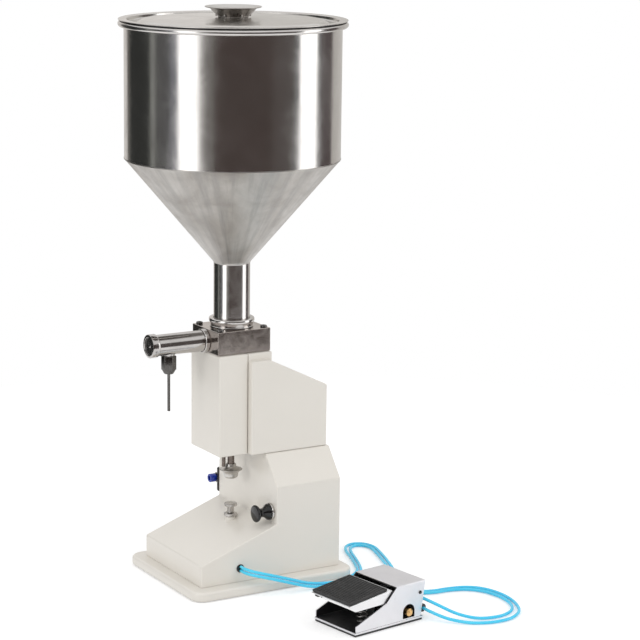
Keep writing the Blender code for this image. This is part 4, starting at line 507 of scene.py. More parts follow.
def strand(name: str, points: Sequence[Vector], radius: float, fineness: int) -> bpy.types.Object:
    """A round strand with closed ends.

    Args:
        name: its name.
        points: its middle line.
        radius: its radius.
        fineness: the curve's bevel resolution.

    Returns:
        The strand, as a curve.
    """
    curve = bpy.data.curves.new(name, "CURVE")
    curve.dimensions = "3D"
    curve.bevel_depth = radius
    curve.bevel_resolution = fineness
    curve.use_fill_caps = True
    spline = curve.splines.new("POLY")
    spline.points.add(len(points) - 1)
    for point, place in zip(spline.points, points):
        point.co = (*place, 1.0)
    spline.use_smooth = True
    return linked(name, curve)


class Shape:
    """A closed solid that is modelled with bmesh operators."""

    def __init__(self) -> None:
        """Start with an empty mesh."""
        self.mesh = bmesh.new()

    @classmethod
    def turned(cls, profile: Profile, place: Matrix | None = None, steps: int = ROUND_STEPS,
               ring: bool = False) -> "Shape":
        """Turn a profile about the Z axis of a frame.

        Args:
            profile: points of radius and height.
            place: the frame, or none for the world's.
            steps: pieces of the full turn.
            ring: whether the profile closes on itself, away from the axis.

        Returns:
            The solid.
        """
        made = cls()
        points = [made.mesh.verts.new((radius, 0.0, height)) for radius, height in profile]
        pairs = list(zip(points, points[1:])) + ([(points[-1], points[0])] if ring else [])
        edges = [made.mesh.edges.new(pair) for pair in pairs]
        bmesh.ops.spin(made.mesh, geom=points + edges, cent=(0.0, 0.0, 0.0), axis=(0.0, 0.0, 1.0),
                       dvec=(0.0, 0.0, 0.0), angle=math.tau, steps=steps, use_merge=True,
                       use_normal_flip=False, use_duplicate=False)
        return made.tidied(place)

    @classmethod
    def block(cls, low: Point, high: Point, place: Matrix | None = None) -> "Shape":
        """A block between two corners.

        Args:
            low: its lowest corner.
            high: its highest corner.
            place: its frame.

        Returns:
            The solid.
        """
        made = cls()
        size = Vector(high) - Vector(low)
        stretch = Matrix.Translation(Vector(low) + size / 2) @ Matrix.Diagonal((*size, 1.0))
        bmesh.ops.create_cube(made.mesh, size=1.0, matrix=stretch)
        return made.tidied(place)

    @classmethod
    def prism(cls, outline: Profile, axes: str, low: float, high: float,
              place: Matrix | None = None) -> "Shape":
        """Extrude a flat outline.

        Args:
            outline: its corners.
            axes: the two axes of the corners and the axis of the extrusion, as "YZX".
            low: start on that axis.
            high: end on it.
            place: its frame.

        Returns:
            The solid.
        """
        made = cls()
        first, second, third = ("XYZ".index(letter) for letter in axes)
        corners = []
        for across, up in outline:
            corner = Vector((0.0, 0.0, 0.0))
            corner[first], corner[second], corner[third] = across, up, low
            corners.append(made.mesh.verts.new(corner))
        face = made.mesh.faces.new(corners)
        grown = bmesh.ops.extrude_face_region(made.mesh, geom=[face], use_keep_orig=True)
        travel = Vector((0.0, 0.0, 0.0))
        travel[third] = high - low
        moved = [item for item in grown["geom"] if isinstance(item, bmesh.types.BMVert)]
        bmesh.ops.translate(made.mesh, vec=travel, verts=moved)
        return made.tidied(place)

    @classmethod
    def bar(cls, radius: float, low: float, high: float, place: Matrix | None = None,
            steps: int = ROUND_STEPS) -> "Shape":
        """A plain round bar along Z.

        Args:
            radius: its radius.
            low: its lower end.
            high: its upper end.
            place: its frame.
            steps: sides.

        Returns:
            The solid.
        """
        made = cls()
        bmesh.ops.create_cone(made.mesh, cap_ends=True, segments=steps, radius1=radius, radius2=radius,
                              depth=high - low, matrix=Matrix.Translation((0.0, 0.0, (low + high) / 2)))
        return made.tidied(place)

    def tidied(self, place: Matrix | None = None) -> "Shape":
        """Merge doubles, turn faces outwards and move into a frame.

        Args:
            place: the frame, or none.

        Returns:
            The same solid.
        """
        bmesh.ops.remove_doubles(self.mesh, verts=self.mesh.verts, dist=WELD)
        bmesh.ops.recalc_face_normals(self.mesh, faces=self.mesh.faces)
        return self if place is None else self.moved(place)

    def moved(self, place: Matrix) -> "Shape":
        """Move the solid into a frame and return it."""
        bmesh.ops.transform(self.mesh, matrix=place, verts=self.mesh.verts)
        return self

    def bevelled(self, width: float, segments: int = 3, wanted: Callable[[Vector, Vector],
                                                                         bool] | None = None,
                 angle: float = 28.0) -> "Shape":
        """Round sharp edges.

        Args:
            width: size of the rounding.
            segments: its steps.
            wanted: test on an edge's two ends, or none for every sharp edge.
            angle: least angle between its faces, in degrees.

        Returns:
            The same solid.
        """
        limit = math.radians(angle)
        chosen = [edge for edge in self.mesh.edges
                  if len(edge.link_faces) == 2 and edge.calc_face_angle(0.0) > limit
                  and (wanted is None or wanted(edge.verts[0].co, edge.verts[1].co))]
        bmesh.ops.bevel(self.mesh, geom=chosen, offset=width, offset_type="OFFSET", segments=segments,
                        profile=0.5, affect="EDGES", material=-1, clamp_overlap=True)
        return self

    def sliced(self, place: Point, normal: Point) -> "Shape":
        """Cut off what lies on a plane's positive side and close the cut.

        Args:
            place: a point on the plane.
            normal: the plane's normal.

        Returns:
            The same solid.
        """
        everything = [*self.mesh.verts, *self.mesh.edges, *self.mesh.faces]
        cut = bmesh.ops.bisect_plane(self.mesh, geom=everything, plane_co=place, plane_no=normal,
                                     clear_outer=True)
        rim = [item for item in cut["geom_cut"] if isinstance(item, bmesh.types.BMEdge)]
        bmesh.ops.edgeloop_fill(self.mesh, edges=rim)
        return self.tidied()

    def object(self, name: str) -> bpy.types.Object:
        """Turn the mesh into an object and free it.

        Args:
            name: the object's name.

        Returns:
            The object, linked to the scene.
        """
        data = bpy.data.meshes.new(name)
        self.mesh.to_mesh(data)
        self.mesh.free()
        return linked(name, data)

    def combined(self, others: Iterable["Shape"], operation: str) -> "Shape":
        """Weld on or take out other solids.

        Args:
            others: the other solids; they are used up.
            operation: UNION or DIFFERENCE.

        Returns:
            The same solid.
        """
        main = self.object("main")
        helpers = [other.object("helper") for other in others]
        for helper in helpers:
            step = main.modifiers.new("step", "BOOLEAN")
            step.operation = operation
            step.solver = "EXACT"
            step.object = helper
        self.mesh = bmesh.new()
        self.mesh.from_mesh(final_mesh(main))
        for spare in [main, *helpers]:
            bpy.data.objects.remove(spare)
        bmesh.ops.remove_doubles(self.mesh, verts=self.mesh.verts, dist=WELD)
        return self

    def cut(self, *others: "Shape") -> "Shape":
        """Take other solids out of this one, which is then returned."""
        return self.combined(others, "DIFFERENCE")

    def join(self, *others: "Shape") -> "Shape":
        """Weld other solids to this one, which is then returned."""
        return self.combined(others, "UNION")

    def piece(self, name: str, finish: Finish, body: str, stands_for: Sequence[str] = (), flat: bool = False,
              sharp: float = 34.0) -> bpy.types.Object:
        """Make the finished piece, on its body and with its finish.

        Args:
            name: its name.
            finish: its finish.
            body: the moving body that it rides on.
            stands_for: the CAD nodes that it replaces.
            flat: whether large flat faces keep their own normals next to rounded edges.
            sharp: angle in degrees from which an edge stays sharp.

        Returns:
            The piece.
        """
        for face in self.mesh.faces:
            face.smooth = True
        made = self.object(name)
        made.data.set_sharp_from_angle(angle=math.radians(sharp))
        if flat:
            weights = made.modifiers.new("flat_faces", "WEIGHTED_NORMAL")
            weights.keep_sharp = True
        return placed(made, finish, body, stands_for)


def placed(piece: bpy.types.Object, finish: Finish, body: str,
           stands_for: Sequence[str] = ()) -> bpy.types.Object:
    """Dress a piece and tie it to its body.

    Args:
        piece: the piece.
        finish: its finish.
        body: the body that it rides on.
        stands_for: the CAD nodes that it replaces.

    Returns:
        The same piece.
    """
    piece.data.materials.clear()
    piece.data.materials.append(finish.material())
    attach(piece, body)
    if stands_for:
        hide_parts(*stands_for)
    LOG.info("piece %s on %s", piece.name, body)
    return piece


def second_finish(piece: bpy.types.Object, finish: Finish, wanted: Callable[[Vector, Vector], bool]) -> None:
    """Give some faces of a piece another finish.

    Args:
        piece: the piece, dressed in its first finish.
        finish: the other finish.
        wanted: test on a face's centre and normal.
    """
    piece.data.materials.append(finish.material())
    for polygon in piece.data.polygons:
        if wanted(polygon.center, polygon.normal):
            polygon.material_index = 1


def coil(radius: float, wire: float, low: float, high: float, turns: int, place: Matrix) -> Shape:
    """A compression spring with closed ends.

    Args:
        radius: radius at the wire's middle.
        wire: half the wire's thickness.
        low: lower end on the frame's Z.
        high: upper end.
        turns: number of turns.
        place: its frame.

    Returns:
        The solid.
    """
    steps = turns * 24
    points = []
    for step in range(steps + 1):
        turn = math.tau * turns * step / steps
        height = low + wire + (high - low - wire * 2) * step / steps
        points.append(place @ Vector((radius * math.cos(turn), radius * math.sin(turn), height)))
    wound = strand("coil", points, wire, 3)
    shape = Shape()
    shape.mesh.from_mesh(final_mesh(wound))
    bpy.data.objects.remove(wound)
    return shape.tidied()


# ---------------------------------------------------------------------------- studio

@dataclass(frozen=True)
class Card:
    """A tall curved card that only shiny surfaces show, as in a product photographer's studio.

    Attributes:
        name: its name.
        start: first angle about the machine, in degrees from the camera's direction, to the right.
        end: last angle.
        colour: its colour, linear.
    """

    name: str
    start: float
    end: float
    colour: Colour


@dataclass
class Studio:
    """Camera, floor, plain light and the cards that the bare metal reflects."""

    camera_place: Point = (2.44908, -1.35140, 0.92692)
    heading: float = 60.22
    pitch: float = 12.34
    roll: float = 0.50
    lens: float = 126.97
    shift: tuple[float, float] = (0.0847, 0.0225)
    plain_light: float = 0.80
    floor_radius: float = 1.15
    card_distance: float = 5.0
    card_low: float = -2.4
    card_high: float = 2.6
    cards: tuple[Card, ...] = (
        Card("card_far_left", -180.0, -146.0, (0.78, 0.75, 0.72)),
        Card("card_shade_left", -146.0, -136.0, (0.14, 0.135, 0.125)),
        Card("card_black_left", -136.0, -95.0, (0.042, 0.044, 0.042)),
        Card("card_line_left", -95.0, -88.0, (0.36, 0.37, 0.35)),
        Card("card_dim_left", -88.0, -68.0, (0.12, 0.12, 0.12)),
        Card("card_ramp_left", -68.0, -58.0, (0.22, 0.225, 0.255)),
        Card("card_white_left", -58.0, -35.5, (2.4, 2.4, 2.4)),
        Card("card_soft_left", -35.5, -30.0, (0.50, 0.49, 0.48)),
        Card("card_edge_left", -30.0, -19.0, (0.22, 0.21, 0.20)),
        Card("card_brown_middle", -19.0, 41.0, (0.09, 0.071, 0.066)),
        Card("card_dim_right", 41.0, 66.0, (0.12, 0.105, 0.10)),
        Card("card_edge_right", 66.0, 73.5, (0.16, 0.165, 0.165)),
        Card("card_white_right", 73.5, 97.5, (2.4, 2.4, 2.4)),
        Card("card_soft_right", 97.5, 105.0, (0.20, 0.20, 0.20)),
        Card("card_shade_right", 105.0, 127.0, (0.12, 0.10, 0.10)),
        Card("card_far_right", 127.0, 180.0, (0.66, 0.64, 0.61)),
    )

    def add_camera(self) -> None:
        """Stand the camera at the photograph's place and angle."""
        turn, tip, lean = (math.radians(value) for value in (self.heading, self.pitch, self.roll))
        ahead = Vector((-math.sin(turn) * math.cos(tip), math.cos(turn) * math.cos(tip), -math.sin(tip)))
        level = Vector((math.cos(turn), math.sin(turn), 0.0))
        upright = level.cross(ahead)
        right = level * math.cos(lean) + upright * math.sin(lean)
        up = upright * math.cos(lean) - level * math.sin(lean)
        data = bpy.data.cameras.new("camera")
        data.lens = self.lens
        data.sensor_width = 36.0
        data.shift_x, data.shift_y = self.shift
        data.clip_end = 50.0
        camera = linked("camera", data)
        axes = Matrix((right, up, -ahead)).transposed().to_4x4()
        camera.matrix_world = Matrix.Translation(self.camera_place) @ axes
        bpy.context.scene.camera = camera

    @staticmethod
    def seen(recipe: Recipe) -> bpy.types.NodeSocket:
        """Where a ray comes from the eye, a shiny surface or glass: 1 on such rays."""
        path = recipe.add("ShaderNodeLightPath").outputs
        either = recipe.maths("MAXIMUM", path["Is Camera Ray"], path["Is Glossy Ray"])
        return recipe.maths("MAXIMUM", either, path["Is Transmission Ray"])

    def add_world(self) -> None:
        """White background with a plain soft light."""
        world = bpy.data.worlds.new("studio")
        world.use_nodes = True
        bpy.context.scene.world = world
        recipe = Recipe(world.node_tree)
        strength = recipe.spread(self.seen(recipe), (0.0, 1.0), self.plain_light, 1.0)
        sky = recipe.add("ShaderNodeBackground", {"Color": (1.0, 1.0, 1.0, 1.0), "Strength": strength})
        recipe.add("ShaderNodeOutputWorld", {"Surface": sky.outputs[0]})

    def add_floor(self) -> None:
        """A pale round floor that keeps the shadow and ends in white."""
        shape = Shape()
        bmesh.ops.create_circle(shape.mesh, cap_ends=True, segments=96, radius=self.floor_radius,
                                matrix=Matrix.Translation((0.08, 0.05, -0.0004)))
        floor = shape.object("floor")
        finish, recipe = new_material("pale_floor")
        where = recipe.add("ShaderNodeTexCoord").outputs["Object"]
        flecks = recipe.noise(where, 60.0, 3.0)
        tone = recipe.mix(flecks, (0.80, 0.80, 0.80, 1.0), (0.83, 0.83, 0.83, 1.0))
        matt = recipe.add("ShaderNodeBsdfDiffuse", {"Color": tone})
        lift = recipe.maths("MULTIPLY", self.seen(recipe), 0.34)
        glow = recipe.add("ShaderNodeEmission", {"Color": (1.0, 1.0, 1.0, 1.0), "Strength": lift})
        both = recipe.add("ShaderNodeAddShader", {0: matt.outputs[0], 1: glow.outputs[0]})
        recipe.add("ShaderNodeOutputMaterial", {"Surface": both.outputs[0]})
        floor.data.materials.append(finish)

    def add_cards(self) -> None:
        """The curved cards, in a full ring round the machine; the white background shows above and below them.
        """
        towards = math.degrees(math.atan2(self.camera_place[1], self.camera_place[0]))
        for card in self.cards:
            shape = Shape()
            first = math.radians(towards + card.start)
            ends = [shape.mesh.verts.new((self.card_distance * math.cos(first),
                                          self.card_distance * math.sin(first), height))
                    for height in (self.card_low, self.card_high)]
            edge = shape.mesh.edges.new(ends)
            bmesh.ops.spin(shape.mesh, geom=[*ends, edge], cent=(0.0, 0.0, 0.0), axis=(0.0, 0.0, 1.0),
                           dvec=(0.0, 0.0, 0.0), angle=math.radians(card.end - card.start), steps=12,
                           use_merge=False, use_normal_flip=False, use_duplicate=False)
            board = shape.object(card.name)
            finish, recipe = new_material(card.name)
            finish.cycles.emission_sampling = "NONE"
            glow = recipe.add("ShaderNodeEmission", {"Color": (*card.colour, 1.0), "Strength": 1.0})
            recipe.add("ShaderNodeOutputMaterial", {"Surface": glow.outputs[0]})
            board.data.materials.append(finish)
            for ray in ("camera", "diffuse", "shadow", "transmission"):
                setattr(board, "visible_" + ray, False)

    def add_lamp(self, name: str, place: Point, aim: Point, size: float, power: float) -> None:
        """A soft square lamp.

        Args:
            name: its name.
            place: where it hangs.
            aim: the point that it faces.
            size: its side.
            power: its power in watts.
        """
        data = bpy.data.lights.new(name, "AREA")
        data.shape = "SQUARE"
        data.size = size
        data.energy = power
        lamp = linked(name, data)
        facing = (Vector(aim) - Vector(place)).to_track_quat("-Z", "Y").to_matrix().to_4x4()
        lamp.matrix_world = Matrix.Translation(place) @ facing
        lamp.visible_glossy = False

    def build(self) -> None:
        """Set up the whole studio."""
        self.add_camera()
        self.add_world()
        self.add_floor()
        self.add_cards()
        self.add_lamp("lamp_above", (0.4, -0.6, 3.0), (0.05, 0.0, 0.3), 2.2, 10.0)
        self.add_lamp("lamp_right", (2.6, 1.4, 1.6), (0.05, 0.0, 0.3), 1.6, 14.0)
        self.add_lamp("lamp_key", (0.70, -3.0, 1.20), (0.02, 0.0, 0.14), 0.9, 14.0)


# ---------------------------------------------------------------------------- hoses

@dataclass
class Hoses:
    """The two air hoses between the machine's right wall and the pedal, and their bulkhead."""

    radius: float = 0.002
    count: int = 260
    outer: tuple[Point, ...] = (
        (79.4, -28.3, 33.3), (88, -28.2, 33.2), (97, -24, 32.2), (104, -13, 29.4), (108, 4, 24.5),
        (110.3, 26, 17.3), (111, 50, 9.2), (109.8, 73, 4.6), (106.5, 98, 2.1), (98, 122, 2.1),
        (82, 142.5, 2.1), (58, 154.5, 2.1), (30, 165.3, 2.1), (4, 174, 2.1), (-12, 183.8, 2.1),
        (-18.5, 198, 2.1), (-11, 211.8, 2.1), (6, 216.5, 2.1), (29, 211.5, 2.1), (56, 203.3, 2.1),
        (84, 193.5, 2.1), (110, 183, 2.1), (133, 171.8, 2.1), (155, 162.8, 2.1), (174, 161.3, 2.1),
        (189, 170, 2.1), (195.6, 186, 2.1), (197, 206, 2.1), (202, 227, 2.1), (214, 243, 2.1),
        (234, 252, 2.1), (260, 254, 2.1), (287, 248, 2.1), (310, 235.5, 2.1), (324.5, 216, 2.1),
        (328.5, 194.5, 2.1), (325, 174.5, 2.1), (315, 156, 2.3), (298.5, 138.5, 4.8),
        (280, 125.6, 9.9), (266.2, 122.86, 11.5))
    inner: tuple[Point, ...] = (
        (79.4, -28.3, 28.3), (88.5, -28.2, 28.3), (98.5, -24, 27.6), (106, -12.5, 25),
        (110.3, 4.5, 20.2), (113, 26.5, 13), (114.3, 50, 5.6), (115, 73, 2.3), (112.8, 98, 2.1),
        (104, 122.5, 2.1), (87, 145, 2.1), (62, 158.5, 2.1), (34, 169.3, 2.1), (11, 177.6, 2.1),
        (-4.5, 186.2, 2.1), (-10.5, 197.5, 2.1), (-4, 208, 2.1), (10, 210.3, 2.1), (29, 205.6, 2.1),
        (54.5, 197.8, 2.1), (82, 188.3, 2.1), (107.5, 178, 2.1), (131, 166.5, 2.1), (154.5, 157, 2.1),
        (176.5, 155.5, 2.1), (193.5, 165, 2.1), (201.3, 183.5, 2.1), (203, 204, 2.1),
        (209.5, 223.5, 2.1), (222.5, 237.5, 2.1), (241.5, 245, 2.1), (264, 246.5, 2.1),
        (286, 241, 2.1), (303, 229, 2.1), (312, 212.5, 2.1), (313.5, 195.5, 2.1), (309, 178, 2.3),
        (301, 163.5, 4.6), (291, 149.5, 9.5), (279, 135, 17.5), (264, 122.6, 24),
        (253.36, 120.84, 24.5))

    def smooth_route(self, route: Sequence[Point]) -> tuple[list[Vector], float]:
        """Even points along one smooth curve through a route.

        Args:
            route: its points in millimetres.

        Returns:
            The points in metres, and the curve's length.
        """
        knots = [Vector(point) * 0.001 for point in route]
        ends = [knots[0] * 2 - knots[1]] + knots + [knots[-1] * 2 - knots[-2]]
        fine: list[Vector] = []
        for before, start, end, after in zip(ends, ends[1:], ends[2:], ends[3:]):
            for step in range(12):
                t = step / 12
                fine.append(0.5 * (start * 2 + (end - before) * t
                                   + (before * 2 - start * 5 + end * 4 - after) * t ** 2
                                   + (start * 3 - before - end * 3 + after) * t ** 3))
        fine.append(knots[-1])
        reach = [0.0]
        for first, second in zip(fine, fine[1:]):
            reach.append(reach[-1] + (second - first).length)
        points = []
        segment = 0
        for step in range(self.count):
            distance = reach[-1] * step / (self.count - 1)
            while segment < len(fine) - 2 and reach[segment + 1] < distance:
                segment += 1
            span = reach[segment + 1] - reach[segment]
            points.append(fine[segment].lerp(fine[segment + 1], (distance - reach[segment]) / span))
        return points, reach[-1]

    def add_hose(self, name: str, node: str, route: Sequence[Point]) -> None:
        """One free hose along its route.

        Args:
            name: the piece's name.
            node: the CAD node that it replaces.
            route: its points in millimetres.
        """
        points, length = self.smooth_route(route)
        piece = strand(name, points, self.radius, 4)
        placed(piece, HOSE_BLUE, "machine", [node])

    def bulkhead(self) -> None:
        """The black bulkhead in the right wall, with a hole for each hose."""
        place = wall_frame(BULKHEAD_SPOT)
        low = GAP
        high = low + 0.0008
        flange = Shape.turned(((0.0, high), (0.0053, high), (0.0053, low), (0.0048, low), (0.0048, -0.012),
                               (0.0, -0.012)), place).bevelled(0.0004, 3)
        for rise in (0.0025, -0.0025):
            mouth = Matrix.Translation((0.0, 0.0, rise)) @ place
            flange.cut(Shape.bar(0.0021, high - 0.0007, high + OVERRUN, mouth, 32))
        flange.piece("air_bulkhead", BLACK_PLASTIC, "machine", ["hose_bulkhead"])

    def build(self) -> None:
        """Both hoses and their bulkhead."""
        self.add_hose("outer_hose", "hose_outer", self.outer)
        self.add_hose("inner_hose", "hose_inner", self.inner)
        self.bulkhead()


# ---------------------------------------------------------------------------- painted stand

@dataclass
class Stand:
    """Base plate, lower and upper housings and the front cover, all in cream paint."""

    base_half: float = 0.0964
    base_front: float = 0.1007
    base_rear: float = 0.1314
    base_top: float = 0.0129
    half: float = 0.077
    wall: float = 0.003
    shoulder_half: float = 0.0475
    shoulder_low: float = 0.1292
    shoulder_top: float = 0.166
    edge: float = 0.0018
    cover_half: float = 0.0385
    cover_front: float = 0.0377
    head_radius: float = 0.0253
    spigot_radius: float = 0.0155

    def base(self) -> None:
        """The base plate, with round corners and a rounded rim."""
        plate = Shape.block((-self.base_half, -self.base_front, 0.0),
                            (self.base_half, self.base_rear, self.base_top))
        plate.bevelled(0.018, 12, lambda a, b: abs(a.z - b.z) > self.base_top / 2)
        plate.bevelled(0.004, 5, lambda a, b: abs(a.z - b.z) < 0.0001, angle=60.0)
        plate.piece("base", PAINT, "machine", ["base_plate"], flat=True)

    def lower(self) -> None:
        """One welded shell: wedge with a sloping top, column and tapering shoulders."""
        low = self.base_top + GAP
        side = ((-0.0834, low), (0.1184, low), (0.1184, self.shoulder_top), (0.0245, self.shoulder_top),
                (0.0245, 0.0804), (-0.0834, 0.041))
        shell = Shape.prism(side, "YZX", -self.half, self.half)
        rise = self.shoulder_top - self.shoulder_low
        run = self.half - self.shoulder_half
        for sign in (-1.0, 1.0):
            shell.sliced((sign * self.half, 0.0, self.shoulder_low), (sign * rise, 0.0, run))
        shell.bevelled(self.edge, 4, lambda a, b: max(a.z, b.z) > low + 0.001, angle=20.0)
        inner_side = ((-0.0804, low - OVERRUN), (0.1154, low - OVERRUN), (0.1154, 0.163), (0.0275, 0.163),
                      (0.0275, 0.0784), (-0.0804, 0.0391))
        hollow = Shape.prism(inner_side, "YZX", -self.half + self.wall, self.half - self.wall)
        for sign in (-1.0, 1.0):
            hollow.sliced((sign * (self.half - self.wall * 1.3), 0.0, self.shoulder_low - self.wall * 0.7),
                          (sign * rise, 0.0, run))
        boss_top = 0.07535
        shell.cut(hollow, Shape.bar(0.005, 0.05, boss_top + 0.02, steps=48),
                  Shape.bar(0.005, -0.034, -0.015, forward_frame(*THROTTLE_SPOT), 48),
                  Shape.bar(0.005, -0.006, OVERRUN, wall_frame(BULKHEAD_SPOT), 48),
                  Shape.bar(0.0048, -0.006, OVERRUN, wall_frame(INLET_SPOT), 48),
                  Shape.bar(0.012, 0.15, 0.17, AIR_PORT, 48))
        boss = Shape.turned(((0.007, boss_top - 0.0008), (0.0062, boss_top), (0.0033, boss_top),
                             (0.0033, 0.0594),
                             (0.007, 0.0594)), ring=True)
        shell.join(boss)
        shell.piece("lower_casing", PAINT, "machine", ["lower_housing"], flat=True)

    def cylinder_holes(self) -> list[Shape]:
        """Cutters for the metering cylinder above, the air cylinder's spigot below and the four screws."""
        return [Shape.bar(self.head_radius, 0.27, 0.3, steps=FINE_STEPS),
                Shape.bar(self.spigot_radius, 0.163, 0.1718, steps=FINE_STEPS),
                *(Shape.bar(0.0028, 0.28, 0.3, Matrix.Translation((x, y, 0.0)), 32) for x, y in SCREW_SPOTS)]

    def upper(self) -> None:
        """The box behind the cylinders, with a sloping rear roof and the pad below the valve block."""
        floor = self.shoulder_top + GAP
        roof = 0.2877
        side = ((0.0037, floor), (0.1145, floor), (0.1145, 0.2468), (0.0301, roof), (0.0037, roof))
        shell = Shape.prism(side, "YZX", -self.shoulder_half, self.shoulder_half).bevelled(self.edge, 4,
                                                                                           angle=20.0)
        inside = ((0.0062, floor + 0.0025), (0.112, floor + 0.0025), (0.112, 0.2452), (0.0296, 0.2852),
                  (0.0062, 0.2852))
        inner = self.shoulder_half - 0.0025
        shell.cut(Shape.prism(inside, "YZX", -inner, inner))
        pad = Shape.block((-self.cover_half, 0.0037, 0.2817), (self.cover_half, 0.0374, 0.2965))
        pad.bevelled(0.0012, 3, lambda a, b: abs(a.z - b.z) > 0.005 or min(a.z, b.z) > 0.29)
        shell.join(pad)
        window = Shape.block((-0.036, 0.0007, floor + 0.0025), (0.036, 0.0092, 0.2817))
        shell.cut(window, Shape.bar(0.012, 0.16, 0.1718, AIR_PORT, 48), *self.cylinder_holes())
        shell.piece("upper_casing", PAINT, "machine", ["upper_housing"], flat=True)

    def cover(self) -> None:
        """The narrow box ahead of the cylinders, open towards the upper housing."""
        floor = self.shoulder_top + GAP
        box = Shape.block((-self.cover_half, -self.cover_front, floor), (self.cover_half, 0.0031, 0.2965))
        box.bevelled(self.edge, 4)
        box.cut(Shape.block((-0.036, -0.0352, floor + 0.0025), (0.036, 0.0064, 0.2845)),
                *self.cylinder_holes())
        box.piece("cylinder_cover", PAINT, "machine", ["front_cover"], flat=True)

    def build(self) -> None:
        """Every painted piece."""
        self.base()
        self.lower()
        self.upper()
        self.cover()


# ---------------------------------------------------------------------------- valve block and outlet

@dataclass
class ValveBlock:
    """The ground steel block that joins hopper, cylinder and outlet, with its four screws."""

    half: float = 0.0342
    front: float = 0.0378
    rear: float = 0.0374
    low: float = 0.2968
    top: float = 0.3265

    def build(self) -> None:
        """The block and its screws."""
        block = Shape.block((-self.half, -self.front, self.low), (self.half, self.rear, self.top))
        block.bevelled(0.0009, 3)
        seat = self.top - 0.006
        port = ((0.0, self.top + OVERRUN), (0.016, self.top + OVERRUN), (0.016, seat), (0.009, seat),
                (0.009, seat - 0.003), (0.016, seat - 0.003), (0.016, self.low - OVERRUN),
                (0.0, self.low - OVERRUN))
        passage = ((0.0, self.front + OVERRUN), (0.0103, self.front + OVERRUN), (0.0103, 0.0297),
                   (0.0055, 0.0297),
                   (0.0055, 0.009), (0.0, 0.009))
        corners = [Matrix.Translation((x, y, self.top)) for x, y in SCREW_SPOTS]
        block.cut(Shape.turned(port), Shape.turned(passage, forward_frame(OUTLET_HEIGHT)),
                  *(Shape.bar(0.0028, -0.04, OVERRUN, corner, 32) for corner in corners))
        block.piece("valve_block_body", BLOCK_STEEL, "machine", ["valve_block"], flat=True)
        for number, corner in enumerate(corners, 1):
            self.screw(number, corner)

    def screw(self, number: int, place: Matrix) -> None:
        """A socket cap screw.

        Args:
            number: its number.
            place: its frame, on top of the block.
        """
        top = GAP + 0.0024
        head = Shape.turned(((0.0, top), (0.0037, top), (0.00425, top - 0.0006), (0.00425, GAP),
                             (0.0025, GAP),
                             (0.0025, -0.0402), (0.0, -0.0402)), place, 48)
        head.cut(Shape.bar(0.0023, top - 0.0012, top + OVERRUN, place, HEX_STEPS))
        head.piece("block_cap_screw_{}".format(number), DARK_STEEL, "machine",
                   ["block_screw_{}".format(number)])


